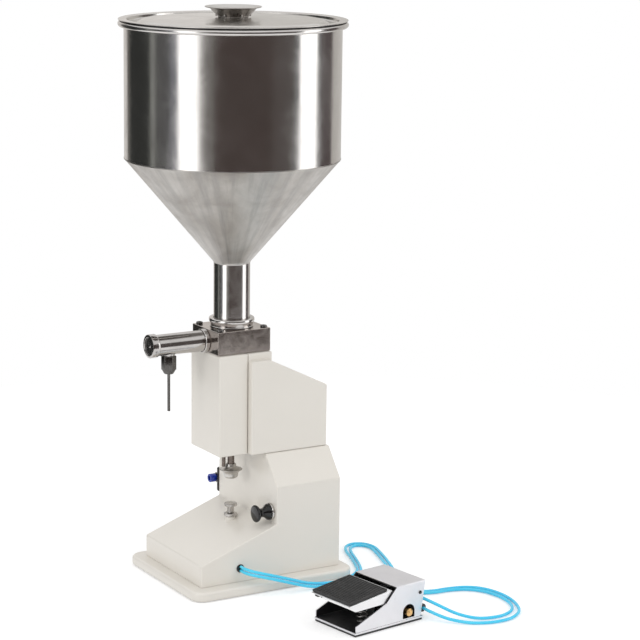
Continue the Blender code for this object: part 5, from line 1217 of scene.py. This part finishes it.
@dataclass
class Outlet:
    """The outlet tube with its collar, end cap, check valve, nozzle nut and needle."""

    height: float = OUTLET_HEIGHT
    radius: float = 0.0135
    collar: float = 0.015
    end: float = 0.108
    ahead: float = 0.0895

    def tube(self) -> None:
        """The collar at the block, the tube and its nozzle boss."""
        place = forward_frame(self.height)
        ring = ((0.0143, 0.044), (self.collar, 0.0433), (self.collar, 0.0388), (0.0143, 0.0381),
                (0.0103, 0.0381),
                (0.0103, 0.044))
        Shape.turned(ring, place, ring=True).piece("outlet_ring", TURNED_STEEL, "machine", ["outlet_collar"])
        profile = ((self.radius - 0.0004, self.end), (self.radius, self.end - 0.0004), (self.radius, 0.0447),
                   (self.radius - 0.0004, 0.0443), (0.010, 0.0443), (0.010, 0.030), (0.0058, 0.030),
                   (0.0058, 0.047),
                   (0.0105, 0.047), (0.0105, self.end))
        tube = Shape.turned(profile, place, FINE_STEPS, ring=True)
        nozzle = Matrix.Translation((0.0, -self.ahead, 0.0))
        tube.join(Shape.turned(((0.0, 0.3), (0.0082, 0.3), (0.0073, 0.2966), (0.007, 0.2954), (0.007, 0.2852),
                                (0.0067, 0.285), (0.0, 0.285)), nozzle, 48))
        tube.cut(Shape.bar(0.0026, 0.282, self.height, nozzle, 32),
                 Shape.bar(0.0105, 0.0471, self.end, place, 96))
        tube.piece("outlet_pipe", TURNED_STEEL, "machine", ["outlet_tube"])

    def cap(self) -> None:
        """The end cap with its recessed face and centre mark."""
        place = forward_frame(self.height)
        rear = self.end + GAP
        face = rear + 0.0097
        floor = face - 0.002
        profile = ((0.0, floor + 0.0005), (0.0016, floor + 0.0003), (0.002, floor), (0.0105, floor),
                   (0.011, floor + 0.0004),
                   (0.0112, face - 0.0003), (0.0116, face), (0.0141, face), (0.0147, face - 0.0003),
                   (self.collar, face - 0.001), (self.collar, rear + 0.001), (0.0147, rear + 0.0003),
                   (0.014, rear),
                   (0.0102, rear), (0.0102, rear - 0.004), (0.0, rear - 0.004))
        cap = Shape.turned(profile, place).piece("outlet_cap", TURNED_STEEL, "end_cap", ["outlet_end_cap"])
        # Painted shade: the recess's floor and wall take the dark steel finish, standing for the shade in the
        # recess; the centre mark keeps the bright turned steel.
        second_finish(cap, DARK_STEEL, lambda centre,
                      normal: centre.y < -floor + 0.0002 and 0.0021 < math.hypot(
            centre.x, centre.z - self.height) < 0.0113)

    def check_valve(self) -> None:
        """The poppet and its spring inside the tube."""
        place = forward_frame(self.height)
        front = 0.0473 + 0.0027
        poppet = ((0.0, front), (0.0086, front), (0.009, front - 0.0004), (0.009, 0.0473), (0.0022, 0.0473),
                  (0.0022, 0.0363), (0.0, 0.0363))
        Shape.turned(poppet, place).piece("outlet_valve_disc", TURNED_STEEL, "outlet_valve",
                                          ["outlet_poppet"])
        spring = coil(0.0065, 0.0006, front + GAP, self.end - 0.004, 6, place).piece(
            "outlet_valve_spring", SPRING_STEEL, "machine", ["outlet_spring"], sharp=50.0)
        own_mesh(spring)

    def nozzle(self) -> None:
        """The hexagonal union nut, tapered below, and the needle that it clamps."""
        place = Matrix.Translation((0.0, -self.ahead, 0.0))
        top, shoulder, low = 0.2965, 0.2785, 0.2737
        flats = place @ Matrix.Rotation(math.radians(30), 4, "Z")
        nut = Shape.bar(0.0097, shoulder, top, flats, HEX_STEPS).bevelled(0.0007, 3)
        nut.join(Shape.turned(((0.0, shoulder + 0.0004), (0.0084, shoulder + 0.0004),
                               (0.0084, shoulder - 0.0004),
                               (0.0062, low + 0.0004), (0.0058, low), (0.0, low)), place))
        nut.cut(Shape.bar(0.0073, 0.2817, top + OVERRUN, place, 48),
                Shape.bar(0.0022, low - OVERRUN, 0.285, place, 32))
        nut.piece("nozzle_union_nut", DARK_STEEL, "nozzle_nut", ["nozzle_nut"])
        flange = 0.285 - GAP
        needle = ((0.0069, flange), (0.0069, flange - 0.0027), (0.0019, flange - 0.0027), (0.0019, 0.2255),
                  (0.0017, 0.2252), (0.0011, 0.2252), (0.0011, flange))
        Shape.turned(needle, place, 40, ring=True).piece("filling_needle", DARK_STEEL, "machine",
                                                         ["nozzle_needle"])

    def build(self) -> None:
        """Every piece of the outlet."""
        self.tube()
        self.cap()
        self.check_valve()
        self.nozzle()


# ---------------------------------------------------------------------------- hopper

@dataclass
class Hopper:
    """Barrel, cone and neck in one welded piece, with its union ring and the inlet spring below."""

    radius: float = 0.135
    neck: float = 0.0231
    neck_low: float = 0.3286
    neck_top: float = 0.4091
    barrel_low: float = 0.5402
    bead: float = 0.0037
    bead_z: float = 0.7065
    sheet: float = 0.0012
    base_z: float = 0.3265

    def vessel(self) -> None:
        """The welded vessel; its parts share one mesh and have their own finishes."""
        rise = self.sheet * 0.37
        seam = 0.0004
        out = self.radius
        profile = [(out - self.sheet, self.bead_z + self.bead)]
        profile += arc((out + self.bead, self.bead_z), self.bead, 90, -90, 14)
        profile += [(out, self.bead_z - self.bead - GAP), (out, self.bead_z - self.bead - 0.0012),
                    (out, self.barrel_low + 0.0022), (out, self.barrel_low + 0.0012),
                    (out + seam, self.barrel_low + 0.0006), (out + seam * 0.6, self.barrel_low - 0.0003),
                    (out - 0.0009, self.barrel_low - 0.0011)]
        upper, lower = Vector(profile[-1]), Vector((self.neck + 0.0013, self.neck_top + 0.0015))
        profile += [tuple(upper.lerp(lower, share)) for share in (0.008, 0.992, 1.0)]
        profile += [(self.neck + 0.0007, self.neck_top + 0.0006),
                    (self.neck + seam * 0.5, self.neck_top - 0.0004),
                    (self.neck, self.neck_top - 0.0012), (self.neck, self.neck_top - 0.0022)]
        low = self.neck_low
        profile += [(self.neck, low + 0.0042), (self.neck, low + 0.0027), (self.neck + 0.0003, low + 0.0024),
                    (0.0256, low + 0.0024), (0.026, low + 0.002), (0.026, low), (self.neck - self.sheet, low)]
        profile += [(self.neck - self.sheet, self.neck_top + rise),
                    (out - self.sheet, self.barrel_low + rise)]
        vessel = Shape.turned(profile, None, FINE_STEPS, ring=True).piece(
            "hopper_vessel", MIRROR_STEEL, "machine", ["hopper", "neck_tube"], sharp=50.0)
        second_finish(vessel, CONE_STEEL,
                      lambda centre, normal: self.neck_top - 0.001 < centre.z < self.barrel_low + 0.0012)

    def union(self) -> None:
        """The union ring round the neck's ferrule."""
        top = self.base_z + 0.0112
        lip = top - 0.0046
        low = self.base_z + GAP
        shelf = self.neck_low + 0.0027
        profile = ((0.0277, top), (0.0284, top - 0.0003), (0.0288, top - 0.0009), (0.0289, top - 0.0016),
                   (0.0289, lip + 0.0008), (0.0286, lip + 0.0002), (0.0281, lip), (0.0274, lip),
                   (0.0272, lip - 0.0003),
                   (0.0272, low + 0.0014), (0.0276, low + 0.0009), (0.0276, low + 0.0004), (0.0273, low),
                   (0.0263, low), (0.0263, shelf), (0.0234, shelf), (0.0234, top - 0.0004), (0.0238, top))
        Shape.turned(profile, None, FINE_STEPS, ring=True).piece("hopper_union", MIRROR_STEEL, "neck_union",
                                                                 ["neck_union"])

    def inlet_spring(self) -> None:
        """The check valve's spring in the hopper's foot."""
        spring = coil(0.0105, 0.0007, 0.3208, 0.3387, 4, Matrix()).piece(
            "inlet_valve_spring", SPRING_STEEL, "machine", ["inlet_spring"], sharp=50.0)
        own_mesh(spring)

    def build(self) -> None:
        """The vessel, its union and the spring below."""
        self.vessel()
        self.union()
        self.inlet_spring()


@dataclass
class Lid:
    """The pressed lid with its sunken groove and dome, and the flared knob."""

    rim: float = 0.142
    seat: float = 0.7105
    rim_top: float = 0.7123
    sheet: float = 0.001

    def pan(self) -> None:
        """The lid itself."""
        top, groove = self.rim_top, self.rim_top - 0.0052
        edge, crown = top - 0.0008, top - 0.0008 + 0.003
        under = 0.001
        upper = [(0.0, crown), (0.03, crown - 0.0001), (0.0791, crown - 0.0015), (0.1, crown - 0.0022),
                 (0.1105, edge + 0.0002), (0.113, edge - 0.0002), (0.1146, edge - 0.0011),
                 (0.1195, groove + 0.0008), (0.1213, groove + 0.0001), (0.1225, groove), (0.129, groove),
                 (0.1298, groove + 0.0001), (0.1304, groove + 0.0006), (0.1308, groove + 0.0014),
                 (0.13095, groove + 0.0018), (0.1312, top - 0.001), (0.13135, top - 0.0007),
                 (0.1317, top - 0.0002), (0.1324, top), (0.1345, top + 0.0001), (0.1405, top - 0.0001)]
        rim = arc((self.rim - 0.0005, top - 0.00045), 0.00045, 80, -80, 8)
        below = [(0.1333, self.seat + 0.0009), (0.1326, groove + 0.001), (0.1312, groove - under + 0.0003),
                 (0.129, groove - under), (0.1213, groove - under), (0.1125, edge - under),
                 (0.0791, crown - 0.0015 - under), (0.0, crown - under)]
        Shape.turned(upper + rim + below, None, FINE_STEPS).piece("lid_pan", LID_STEEL, "lid", ["hopper_lid"],
                                                                  sharp=60.0)
        # Painted shade: a thin black rubber ring tucked under the rim stands for the dark shadow gap between
        # the lid and the hopper's bead.
        low = self.seat - 0.00005
        seal = ((0.1335, low), (0.1403, low), (0.1406, low + 0.0003), (0.1406, low + 0.0006),
                (0.1403, low + 0.0009),
                (0.1335, low + 0.0009))
        Shape.turned(seal, None, FINE_STEPS, ring=True).piece("lid_shade_ring", RUBBER, "lid")

    def knob(self) -> None:
        """The flared knob with its dished top."""
        foot = 0.7148
        top = 0.728
        profile = [(0.0, top - 0.0042), (0.008, top - 0.0041), (0.0165, top - 0.0036), (0.022, top - 0.0027),
                   (0.0275, top - 0.0015), (0.0315, top - 0.0005), (0.0338, top)]
        profile += arc((0.0346, top - 0.0006), 0.0006, 80, -80, 6)
        profile += [(0.0335, top - 0.0016), (0.030, top - 0.0022), (0.0282, top - 0.0032),
                    (0.0268, top - 0.005),
                    (0.0235, top - 0.0082), (0.0205, top - 0.0108), (0.0192, top - 0.0124), (0.019, foot),
                    (0.0, foot)]
        handle = Shape.turned(profile, None, 96)
        spots = [Vector((0.021 * math.cos(turn), 0.021 * math.sin(turn), 0.7172))
                 for turn in (math.radians(angle) for angle in range(1, 361, 60))]
        handle.join(*(Shape.turned(arc((0.0, 0.0), 0.0014, -90, 90, 10), Matrix.Translation(spot), 20)
                      for spot in spots))
        knob = handle.piece("lid_handle", KNOB_STEEL, "lid", ["lid_knob"], sharp=50.0)
        second_finish(knob, SATIN_STEEL, lambda centre, normal: centre.z > top - 0.0024
                      or min((centre - spot).length for spot in spots) < 0.0016)

    def build(self) -> None:
        """The lid and its knob."""
        self.pan()
        self.knob()


# ---------------------------------------------------------------------------- drive, stop, throttle, inlet

@dataclass
class Drive:
    """Piston rod with its flared nut, the pin beside it, and the stop on the slope."""

    rod: float = 0.0045
    nut_top: float = 0.1455
    nut_low: float = 0.1262
    pin_y: float = -0.0106

    def rod_and_nut(self) -> None:
        """The rod, the pin and the flared adjusting nut."""
        top = 0.2906
        # The rod and the pin wear the rod steel, whose dark brown colour is a painted reflection.
        Shape.turned(((0.0, top), (self.rod, top), (self.rod, 0.1305), (0.0, 0.1305)), None, 48).piece(
            "drive_rod", ROD_STEEL_PAINTED_REFLECTION, "piston", ["piston_rod"])
        place = Matrix.Translation((0.0, self.pin_y, 0.0))
        Shape.turned(((0.0, 0.17), (0.0025, 0.17), (0.0025, 0.1429), (0.0021, 0.1425), (0.0, 0.1425)), place,
                     40).piece(
            "guide_pin", ROD_STEEL_PAINTED_REFLECTION, "machine", ["stop_pin"])
        rim = 0.1385
        profile = [(0.0048, self.nut_top), (0.006, self.nut_top), (0.0064, self.nut_top - 0.0004),
                   (0.0066, 0.1433),
                   (0.0069, 0.1421), (0.0078, 0.1409), (0.0093, 0.1399), (0.0115, 0.1389), (0.0135, rim)]
        profile += arc((0.01415, rim - 0.0006), 0.0006, 80, -80, 6)
        profile += [(0.013, 0.1366), (0.0118, 0.1357), (0.0105, 0.1344), (0.0096, 0.1328), (0.0094, 0.131),
                    (0.0093, 0.1295),
                    (0.0088, 0.128), (0.0075, 0.1268), (0.005, 0.1263), (0.0, self.nut_low), (0.0, 0.1302),
                    (0.0048, 0.1302)]
        Shape.turned(profile, None, 80, ring=True).piece("stroke_nut", SATIN_STEEL, "adjusting_nut",
                                                         ["adjusting_nut"],
                                                         sharp=45.0)

    def stop(self) -> None:
        """The headed stop screw and its lock ring."""
        top = 0.0924
        disc = 0.0085
        head = [(0.0, top), (0.0075, top), (0.0081, top - 0.0002), (disc, top - 0.0007), (disc, top - 0.0028),
                (0.0081, top - 0.0033), (0.0062, top - 0.0037), (0.0046, top - 0.0042),
                (0.00425, top - 0.005),
                (0.00425, 0.0795), (0.003, 0.0795), (0.003, 0.0614), (0.0, 0.0614)]
        Shape.turned(head, None, 64).piece("stop_bolt", KNOB_STEEL, "stop_screw", ["stop_screw"])
        low = 0.0757
        ring = ((0.0076, low + 0.0035), (0.0082, low + 0.0033), (disc, low + 0.0029), (disc, low + 0.0006),
                (0.0082, low + 0.0002), (0.0076, low), (0.0033, low), (0.0033, low + 0.0035))
        Shape.turned(ring, None, 64, ring=True).piece("stop_ring", KNOB_STEEL, "stop_lock_ring",
                                                      ["stop_lock_ring"])

    def build(self) -> None:
        """The rod, the nut, the pin and the stop."""
        self.rod_and_nut()
        self.stop()


@dataclass
class Throttle:
    """The air throttle on the column's face: bright ring and black knob."""

    rear: float = -0.0242

    def build(self) -> None:
        """The ring and the knob."""
        place = forward_frame(*THROTTLE_SPOT)
        rear = self.rear
        ring = ((0.0107, rear + 0.003), (0.0112, rear + 0.0025), (0.0112, rear + 0.0005), (0.0107, rear),
                (0.005, rear),
                (0.005, rear + 0.003))
        Shape.turned(ring, place, 64, ring=True).piece("throttle_washer", MIRROR_STEEL, "machine",
                                                       ["throttle_ring"])
        low, high = -0.0209, -0.0004
        profile = [(0.0, high), (0.0096, high), (0.0105, high - 0.0003), (0.011, high - 0.0009),
                   (0.011, high - 0.002),
                   (0.0103, high - 0.0036), (0.0088, high - 0.0052), (0.0068, high - 0.0068),
                   (0.0058, high - 0.0084),
                   (0.0056, high - 0.0104), (0.0058, high - 0.0122), (0.0066, high - 0.0138),
                   (0.008, high - 0.0156),
                   (0.0098, high - 0.0176), (0.0104, high - 0.0188), (0.0104, high - 0.0198), (0.01, low),
                   (0.0028, low),
                   (0.0028, -0.0086), (0.0, -0.0086)]
        Shape.turned(profile, place, 64).piece("throttle_handle", GLOSS_BLACK, "throttle_knob",
                                               ["throttle_knob"],
                                               sharp=45.0)


@dataclass
class AirInlet:
    """The air inlet on the left wall: plate, push-in elbow and blue release ring."""

    half: float = 0.0165
    thickness: float = 0.003

    def elbow(self, place: Matrix) -> Shape:
        """The elbow's body.

        Args:
            place: frame on its corner, Z outwards from the wall, X along its barrel.

        Returns:
            The solid.
        """
        across = place @ SIDEWAYS
        barrel = Shape.turned(((0.0, 0.019), (0.0060, 0.019), (0.0064, 0.0186), (0.0064, 0.0155),
                               (0.0056, 0.0153),
                               (0.0056, -0.0048), (0.0048, -0.0056), (0.0, -0.0056)), across, 48)
        stem = Shape.bar(0.0045, -0.018, 0.0, place, 48)
        nut = Shape.bar(0.0068, -0.0107, -0.0077, place, HEX_STEPS).bevelled(0.0003, 2)
        barrel.join(stem, nut)
        return barrel.cut(Shape.bar(0.0043, 0.010, 0.019 + OVERRUN, across, 48))

    def build(self) -> None:
        """The plate, the elbow and the release ring."""
        wall_x, y, z = INLET_SPOT
        outer = wall_x - GAP
        plate = Shape.block((outer - self.thickness, 0.0232, z - self.half), (outer, 0.062, z + self.half))
        plate.bevelled(0.0025, 4, lambda a, b: abs(a.x - b.x) > 0.002).bevelled(0.0004, 2, angle=60.0)
        plate.cut(Shape.bar(0.0048, -OVERRUN, 0.006, wall_frame(INLET_SPOT), 48))
        plate.piece("inlet_flange", DARK_STEEL, "machine", ["inlet_plate"], flat=True)
        place = wall_frame((wall_x - 0.011, y, z))
        self.elbow(place).piece("inlet_fitting", DARK_STEEL, "machine", ["inlet_elbow"])
        across = place @ SIDEWAYS
        ring = ((0.0050, 0.029), (0.0056, 0.0284), (0.0056, 0.0210), (0.0052, 0.0206), (0.004, 0.0206),
                (0.004, 0.0146),
                (0.0031, 0.0146), (0.0031, 0.0286), (0.0035, 0.029))
        Shape.turned(ring, across, 48, ring=True).piece("inlet_button", BLUE_PLASTIC, "release_ring",
                                                        ["inlet_release_ring"])


# ---------------------------------------------------------------------------- pedal

@dataclass
class Pedal:
    """The foot pedal: mat, base, sheet cover, lever with its ribbed pad, and the valve inside."""

    x: float = 0.2531
    y: float = 0.0042
    turn: float = 8.9
    half: float = 0.038
    length: float = 0.109
    height: float = 0.0503
    sheet: float = 0.0015
    floor: float = 0.0056
    hinge_y: float = 0.0605
    hinge_z: float = 0.038
    tilt: float = 6.9
    lever_half: float = 0.0356
    lever_front: float = 0.067
    plate_z: float = 0.008
    screw_spot: Point = (0.0, 0.1035, 0.0359)
    elbows: tuple[tuple[str, float, float], ...] = (("low", 0.0165, 0.0115), ("high", 0.0035, 0.0245))

    def place(self) -> Matrix:
        """Frame of the pedal, on its front edge."""
        return Matrix.Translation((self.x, self.y, 0.0)) @ Matrix.Rotation(math.radians(self.turn), 4, "Z")

    def lever_place(self) -> Matrix:
        """Frame of the lever, on its hinge."""
        lift = Matrix.Rotation(math.radians(self.tilt), 4, "X")
        return self.place() @ Matrix.Translation((0.0, self.hinge_y, self.hinge_z)) @ lift

    def foot(self) -> None:
        """The rubber mat and the base plate on it."""
        at = self.place()
        mat = Shape.block((-0.0374, 0.0006, 0.0), (0.0374, 0.1084, 0.0024), at).bevelled(0.0006, 2)
        mat.piece("pedal_foot_mat", RUBBER, "machine", ["pedal_mat"], flat=True)
        plate = Shape.block((-self.half, 0.0, 0.0027), (self.half, self.length, 0.0053), at).bevelled(0.0005,
                                                                                                      3)
        made = plate.piece("pedal_floor_plate", ALUMINIUM, "machine", ["pedal_base"], flat=True)
        # Painted shade: the plate's upward faces turn near-black, for the shade under the cover and the shadow
        # gap along its edges.
        second_finish(made, PAINTED_SHADE_BLACK, lambda centre, normal: normal.z > 0.9)

    def cover(self) -> None:
        """The sheet cover, its arch and holes."""
        at = self.place()
        foot, crest = self.length - 0.003, self.length + 0.0036
        side = ((0.0015, self.floor), (foot, self.floor), (crest, self.height), (0.066, self.height),
                (0.0489, 0.0323), (0.0015, 0.0133))
        cover = Shape.prism(side, "YZX", -self.half, self.half)
        cover.bevelled(0.0016, 4, lambda a, b: max(a.z, b.z) > self.height - 0.001 and min(a.y, b.y) > 0.06)
        inner = self.half - self.sheet
        roof = self.height - self.sheet
        hollow = ((-OVERRUN, 0.0), (foot - self.sheet, 0.0), (crest - self.sheet, roof), (-OVERRUN, roof))
        inside = Shape.prism(hollow, "YZX", -inner, inner)
        arch = [(0.0759, 0.007), (0.0949, 0.007)] + arc((0.0854, 0.015), 0.0095, 0, 180, 20)
        hinge = Matrix.Translation((0.0, self.hinge_y, self.hinge_z)) @ SIDEWAYS
        screws = Matrix.Translation(self.screw_spot) @ SIDEWAYS
        reach = self.half + OVERRUN
        cover.cut(inside, Shape.prism(arch, "YZX", inner - OVERRUN, reach),
                  Shape.bar(0.0028, -reach, reach, hinge, 32), Shape.bar(0.0016, -reach, reach, screws, 32),
                  *(Shape.bar(0.0043, -0.005, OVERRUN, frame_of((x, self.length, z), (1, 0, 0), (0, 1, 0)),
                              32)
                    for _, x, z in self.elbows))
        cover.moved(at)
        guard = cover.piece("pedal_guard", ALUMINIUM, "machine", ["pedal_cover"], flat=True)
        # Painted shade: the cover's inner faces turn near-black, for the shade inside it.
        second_finish(guard, PAINTED_SHADE_BLACK, lambda centre, normal: self.is_inside(at.inverted() @ centre))
        pin = Shape.turned(((0.0, 0.0379), (0.0027, 0.0379), (0.0027, -0.0379), (0.0, -0.0379)), at @ hinge,
                           40)
        pin.piece("pedal_axle", ALUMINIUM, "machine", ["pedal_hinge_pin"])
        for number, way in ((1, SIDEWAYS), (2, SIDEWAYS.inverted())):
            spot = at @ Matrix.Translation(self.screw_spot) @ way
            screw = Shape.turned(((0.0, 0.0397), (0.0012, 0.0396), (0.002, 0.0391), (0.0023, 0.0385),
                                  (0.0023, 0.0383),
                                  (0.0013, 0.0383), (0.0013, 0.0343), (0.0, 0.0343)), spot, 32)
            screw.piece("pedal_screw_{}".format(number), BLACK_PLASTIC, "machine",
                        ["pedal_side_screw_{}".format(number)])

    def is_inside(self, spot: Vector) -> bool:
        """Whether a point on the cover, in the pedal's frame, lies on its inner side."""
        share = self.sheet * 0.6
        return (abs(spot.x) < self.half - share and spot.y < self.length - self.sheet * 2
                and spot.z < self.height - share)

    def lever(self) -> None:
        """The lever tray and its ribbed pad."""
        at = self.lever_place()
        top = self.plate_z + self.sheet
        front = -self.lever_front
        side = [(-0.001, top), (front, top), (front, top - 0.0035), (front + 0.008, top - 0.0095)]
        side += arc((0.0, 0.0), 0.0058, -90, 60, 14)
        tray = Shape.prism(side, "YZX", -self.lever_half, self.lever_half)
        tray.bevelled(0.0011, 3, lambda a, b: min(a.z, b.z) > top - 0.0002)
        inner = self.lever_half - self.sheet
        tray.cut(Shape.block((-inner, front + self.sheet, -0.067), (inner, 0.0088, self.plate_z)),
                 Shape.block((-self.lever_half - OVERRUN, front - OVERRUN, -0.067),
                             (-0.0155, front + 0.004, self.plate_z)),
                 Shape.bar(0.0028, -0.04, 0.04, SIDEWAYS, 32),
                 *(Shape.bar(0.0022, 0.0, top + OVERRUN, spot, 24) for spot in self.stud_spots()))
        tray.moved(at)
        tray.piece("pedal_tray", PLATE_ALUMINIUM, "pedal_lever", ["pedal_lever"], flat=True)
        self.pad(at, top + GAP)

    def stud_spots(self) -> list[Matrix]:
        """Frames of the pad's two studs."""
        return [Matrix.Translation((x, -0.0635, 0.0)) for x in (-0.0306, -0.0201)]

    def pad(self, at: Matrix, low: float) -> None:
        """The ribbed rubber pad with its studs.

        Args:
            at: the lever's frame.
            low: its underside.
        """
        high = low + 0.003
        half = self.lever_half - 0.0008
        rear = -0.0065
        front = -self.lever_front + 0.0008
        pad = Shape.block((-half, front, low), (half, rear, high)).bevelled(0.0007, 2)
        ribs = 18
        lines = [front + (rear - front) / ribs * number for number in range(1, ribs)]
        grooves = [Shape.block((-half + 0.002, line - 0.0006, high - 0.0008),
                               (half - 0.002, line + 0.0006, high + OVERRUN)) for line in lines]
        pad.cut(*grooves)
        pad.join(*(Shape.bar(0.0019, low - 0.0042, low + 0.0008, spot, 24) for spot in self.stud_spots()))
        pad.moved(at)
        pad.piece("pedal_tread", RUBBER, "pedal_lever", ["pedal_pad"], flat=True)

    def valve(self) -> None:
        """The return spring, the silencer and the two elbows."""
        at = self.place()
        spring_at = at @ Matrix.Translation((0.018, 0.028, 0.0))
        spring = coil(0.006, 0.0008, self.floor, self.floor + 0.0361, 6, spring_at).piece(
            "pedal_spring", SPRING_STEEL, "machine", ["pedal_return_spring"], sharp=50.0)
        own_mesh(spring)
        outward = at @ Matrix.Translation((0.0243, 0.0854, 0.0143)) @ SIDEWAYS
        body = Shape.turned(((0.0, 0.0175), (0.0026, 0.0175), (0.0036, 0.0168), (0.0048, 0.0155),
                             (0.0048, 0.0049),
                             (0.0, 0.0049)), outward, 40)
        body.join(Shape.bar(0.0062, 0.0, 0.005, outward, HEX_STEPS).bevelled(0.0004, 2))
        body.piece("exhaust_silencer", BRASS, "machine", ["pedal_silencer"])
        for name, x, z in self.elbows:
            corner = at @ frame_of((x, self.length + 0.0062, z), (1, 0, 0), (0, 1, 0))
            across = corner @ SIDEWAYS
            barrel = Shape.turned(((0.0, 0.0145), (0.0048, 0.0145), (0.0052, 0.0141), (0.0052, 0.0117),
                                   (0.0046, 0.0114),
                                   (0.0046, -0.0039), (0.0039, -0.0046), (0.0, -0.0046)), across, 40)
            barrel.join(Shape.bar(0.004, -0.0109, 0.0, corner, 40),
                        Shape.bar(0.0052, -0.0058, -0.0043, corner, HEX_STEPS))
            barrel.cut(Shape.bar(0.0023, 0.0095, 0.0145 + OVERRUN, across, 32))
            barrel.piece("pedal_fitting_{}".format(name), BLACK_PLASTIC, "machine", ["pedal_elbow_" + name])

    def build(self) -> None:
        """Every piece of the pedal."""
        self.foot()
        self.cover()
        self.lever()
        self.valve()


# ---------------------------------------------------------------------------- CAD pieces that stay

KEPT: dict[str, Finish] = {
    "metering_cylinder": MIRROR_STEEL, "metering_piston": TURNED_STEEL, "metering_piston_seal": RUBBER,
    "air_cylinder_tube": ALUMINIUM, "air_cylinder_top_cap": ALUMINIUM, "air_cylinder_bottom_cap": ALUMINIUM,
    "air_piston": ALUMINIUM, "air_piston_seal": RUBBER, "throttle_body": DARK_STEEL,
    "inlet_poppet": MIRROR_STEEL,
    "neck_gasket": RUBBER, "pedal_valve_body": BLACK_PLASTIC, "pedal_plunger": TURNED_STEEL,
}


def dress_kept_nodes(finishes: dict[str, Finish]) -> None:
    """Give the CAD pieces that stay their finish.

    Args:
        finishes: the finish of each node by its name.
    """
    for name, finish in finishes.items():
        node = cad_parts[name]
        for holder in node.material_slots:
            holder.material = finish.material()
        LOG.info("node %s keeps its shape", name)


def save_sizes() -> None:
    """Update the view layer."""
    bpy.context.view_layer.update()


def main() -> None:
    """Build the studio, then every sub-assembly."""
    logging.basicConfig(level=logging.INFO, format="%(message)s")
    bpy.context.scene.view_settings.view_transform = "Standard"
    for assembly in (Studio(), Hoses(), Stand(), ValveBlock(), Outlet(), Hopper(), Lid(), Drive(), Throttle(),
                     AirInlet(), Pedal()):
        assembly.build()
        LOG.info("built %s", type(assembly).__name__)
    dress_kept_nodes(KEPT)
    save_sizes()


if __name__ == "__main__":
    main()
